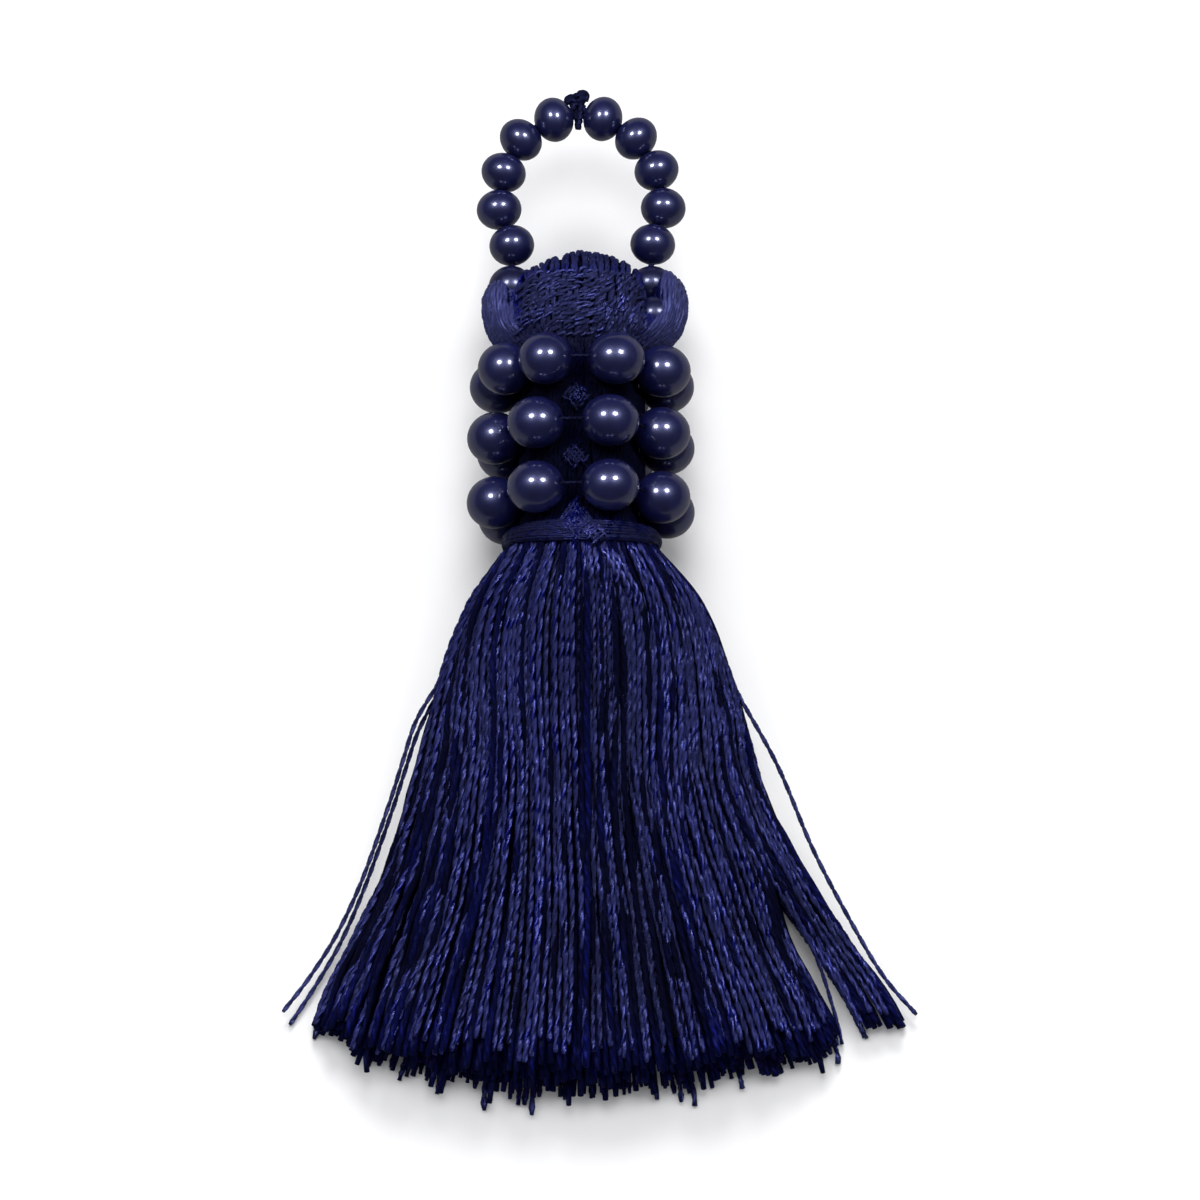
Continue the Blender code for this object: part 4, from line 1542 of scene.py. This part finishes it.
def row_line(row, count=260):
    """Straight through every bead and straight across to the next."""
    angles = np.radians(np.sort(np.mod(row["angles"], 360)))
    corners = []
    for i, a in enumerate(angles):
        way = np.array(bore_way(math.degrees(a)))
        at = np.array([math.sin(a), 0.0, math.cos(a)]) * ROW_RING_R
        at += np.array([0.0, row["y"], AXIS_Z])
        for other, sign in ((angles[i - 1], -1), (angles[(i + 1) % len(angles)], 1)):
            gap = (sign * (other - a)) % (2 * math.pi)
            reach = min(2.58, ROW_RING_R * math.tan(gap / 2) * 0.96)
            corners.append(at + sign * reach * way)
    corners = np.array(corners + corners[:1])
    run = np.linalg.norm(np.diff(corners, axis=0), axis=1)
    run = np.concatenate([[0], np.cumsum(run)])
    at = np.linspace(0, run[-1], count, endpoint=False)
    return np.stack([np.interp(at, run, corners[:, c]) for c in range(3)], axis=1)


for row in BEAD_ROWS:
    p = row_line(row)[None]
    facing = unit(p - np.array([0.0, row["y"], AXIS_Z]))
    keep(
        tubes(
            f"{row['name']}_string",
            p,
            facing,
            0.155,
            THREAD,
            rng=np.random.default_rng(51),
            turn=1.1,
            closed=True,
            # painted shade: the strings lie dark between the beads
            depth=0.95,
        ),
        "thread",
        f"{row['name']}_thread",
    )

line = curve_through(chain, 260)
facing = np.array([0.0, 0.0, 1.0])
side = unit(np.cross(np.gradient(line, axis=0), facing))
pair = np.stack([line + side * 0.10, line - side * 0.10])
keep(
    tubes(
        "loop_string",
        pair,
        facing,
        0.19,
        THREAD,
        rng=np.random.default_rng(52),
        turn=1.0,
        depth=0.4,
    ),
    "thread",
    "loop_thread",
)


def knot():
    t = np.linspace(0, 2 * np.pi, 120, endpoint=False)
    x = np.sin(t) + 2 * np.sin(2 * t)
    y = np.cos(t) - 2 * np.cos(2 * t)
    z = -np.sin(3 * t)
    p = np.stack([x * 0.29, y * 0.15, z * 0.26], -1)
    a = math.radians(17)
    turned = np.stack(
        [
            p[:, 0] * math.cos(a) - p[:, 1] * math.sin(a),
            p[:, 0] * math.sin(a) + p[:, 1] * math.cos(a),
            p[:, 2],
        ],
        -1,
    )
    turned += np.array([-0.42, 44.72, 9.55])
    facing = unit(turned - turned.mean(axis=0) + 1e-4)
    return turned[None], facing[None]


p, facing = knot()
keep(
    tubes(
        "knot_turns",
        p,
        facing,
        0.42,
        THREAD,
        rng=np.random.default_rng(53),
        turn=2.2,
        closed=True,
    ),
    "thread",
    "loop_knot",
)
ends = np.stack(
    [
        curve_through([(-0.9, 44.1, 9.6), (-0.2, 44.55, 9.85), (0.55, 44.75, 9.8)], 20),
        curve_through([(-0.5, 44.2, 9.3), (-0.8, 44.5, 9.45), (-1.15, 44.7, 9.4)], 20),
        curve_through([(-1.9, 42.75, 9.80), (-1.1, 43.35, 9.9), (-0.5, 44.3, 9.7)], 20),
        curve_through([(1.3, 42.80, 9.80), (0.5, 43.40, 9.9), (-0.2, 44.3, 9.7)], 20),
        curve_through([(-1.4, 42.72, 9.55), (-0.3, 43.3, 9.6), (0.9, 42.76, 9.55)], 20),
        curve_through([(-0.9, 44.5, 9.2), (-0.45, 43.2, 9.5), (-0.3, 41.9, 9.6)], 20),
        curve_through([(-0.1, 44.6, 9.5), (-0.1, 43.3, 9.8), (-0.35, 41.9, 9.7)], 20),
    ]
)
keep(
    tubes(
        "knot_ends",
        ends,
        np.array([0.0, 0.0, 1.0]),
        0.33,
        THREAD,
        rng=np.random.default_rng(54),
        turn=1.0,
    ),
    "thread",
    "loop_knot",
)

# --- stray yarns ----------------------------------------------------------

for i, (name, points) in enumerate(STRAYS.items()):
    p = curve_through(points, 110)[None]
    rng = np.random.default_rng(60 + i)
    taper = np.ones((1, 110))
    taper[:, -1] = 0.8
    keep(
        tubes(
            name + "_yarn",
            p,
            np.array([0.0, 0.0, 1.0]),
            0.23,
            YARN,
            rng=rng,
            along=(0.3, 1.0),
            taper=taper,
            depth=0.62,
        ),
        "yarn",
        name,
    )

p = curve_through(
    [
        (18.2, -28.0, 5.4),
        (19.6, -30.9, 4.4),
        (21.2, -34.0, 2.9),
        (22.7, -38.4, 1.1),
        (23.3, -40.8, 0.4),
    ],
    60,
)[None]
keep(
    tubes(
        "slit_yarn",
        p,
        np.array([0.0, 0.0, 1.0]),
        0.20,
        YARN,
        rng=np.random.default_rng(66),
        depth=0.6,
    ),
    "yarn",
    "yarn_hank",
)

# --- floor and light ------------------------------------------------------

floor_mesh = bpy.data.meshes.new("floor")
floor_mesh.from_pydata(
    [(-2, -2, 0), (2, -2, 0), (2, 2, 0), (-2, 2, 0)], [], [(0, 1, 2, 3)]
)
floor_mesh.materials.append(floor_material())
floor = bpy.data.objects.new("floor", floor_mesh)
bpy.context.scene.collection.objects.link(floor)

LIGHTS = [
    # name, sideways, past vertical, distance, size, power, in diffuse, in gloss
    ("glint_left", -22.0, 14.0, 0.80, 0.25, 4.6, False, True),
    ("glint_right", 22.0, 14.0, 0.80, 0.25, 4.6, False, True),
    ("softbox_left", -36.0, 16.0, 0.90, 0.50, 1.2, True, False),
    ("softbox_right", 36.0, 16.0, 0.90, 0.50, 1.2, True, False),
    ("overhead", 0.0, 12.0, 1.20, 0.60, 4.8, True, False),
    ("behind", 0.0, 52.0, 1.20, 0.50, 10.5, True, False),
    ("front_low", 0.0, -68.0, 1.20, 0.60, 1.0, True, False),
]
for name, sideways, past, away, size, power, diffuse, gloss in LIGHTS:
    data = bpy.data.lights.new(name, "AREA")
    data.shape = "DISK"
    data.size = size
    data.energy = power
    light = bpy.data.objects.new(name, data)
    bpy.context.scene.collection.objects.link(light)
    way = Vector(
        (
            math.tan(math.radians(sideways)),
            math.tan(math.radians(past)),
            1.0,
        )
    ).normalized()
    light.location = way * away
    light.rotation_mode = "QUATERNION"
    light.rotation_quaternion = way.to_track_quat("Z", "Y")
    light.visible_diffuse = diffuse
    light.visible_glossy = gloss

world = bpy.data.worlds.new("studio")
bpy.context.scene.world = world
world.use_nodes = True
tree = world.node_tree
background = tree.nodes["Background"]
background.inputs["Color"].default_value = (0.97, 0.98, 1.0, 1.0)
# a dim room in reflections, soft fill elsewhere
rays = tree.nodes.new("ShaderNodeLightPath")
fill = tree.nodes.new("ShaderNodeMapRange")
tree.links.new(rays.outputs["Is Glossy Ray"], fill.inputs["Value"])
fill.inputs["To Min"].default_value = 0.42
fill.inputs["To Max"].default_value = 0.04
seen = tree.nodes.new("ShaderNodeMix")
tree.links.new(rays.outputs["Is Camera Ray"], seen.inputs[0])
tree.links.new(fill.outputs["Result"], seen.inputs[2])
seen.inputs[3].default_value = 1.0
tree.links.new(seen.outputs[0], background.inputs["Strength"])

bpy.context.scene.view_settings.view_transform = "Standard"
bpy.context.scene.view_settings.look = "None"
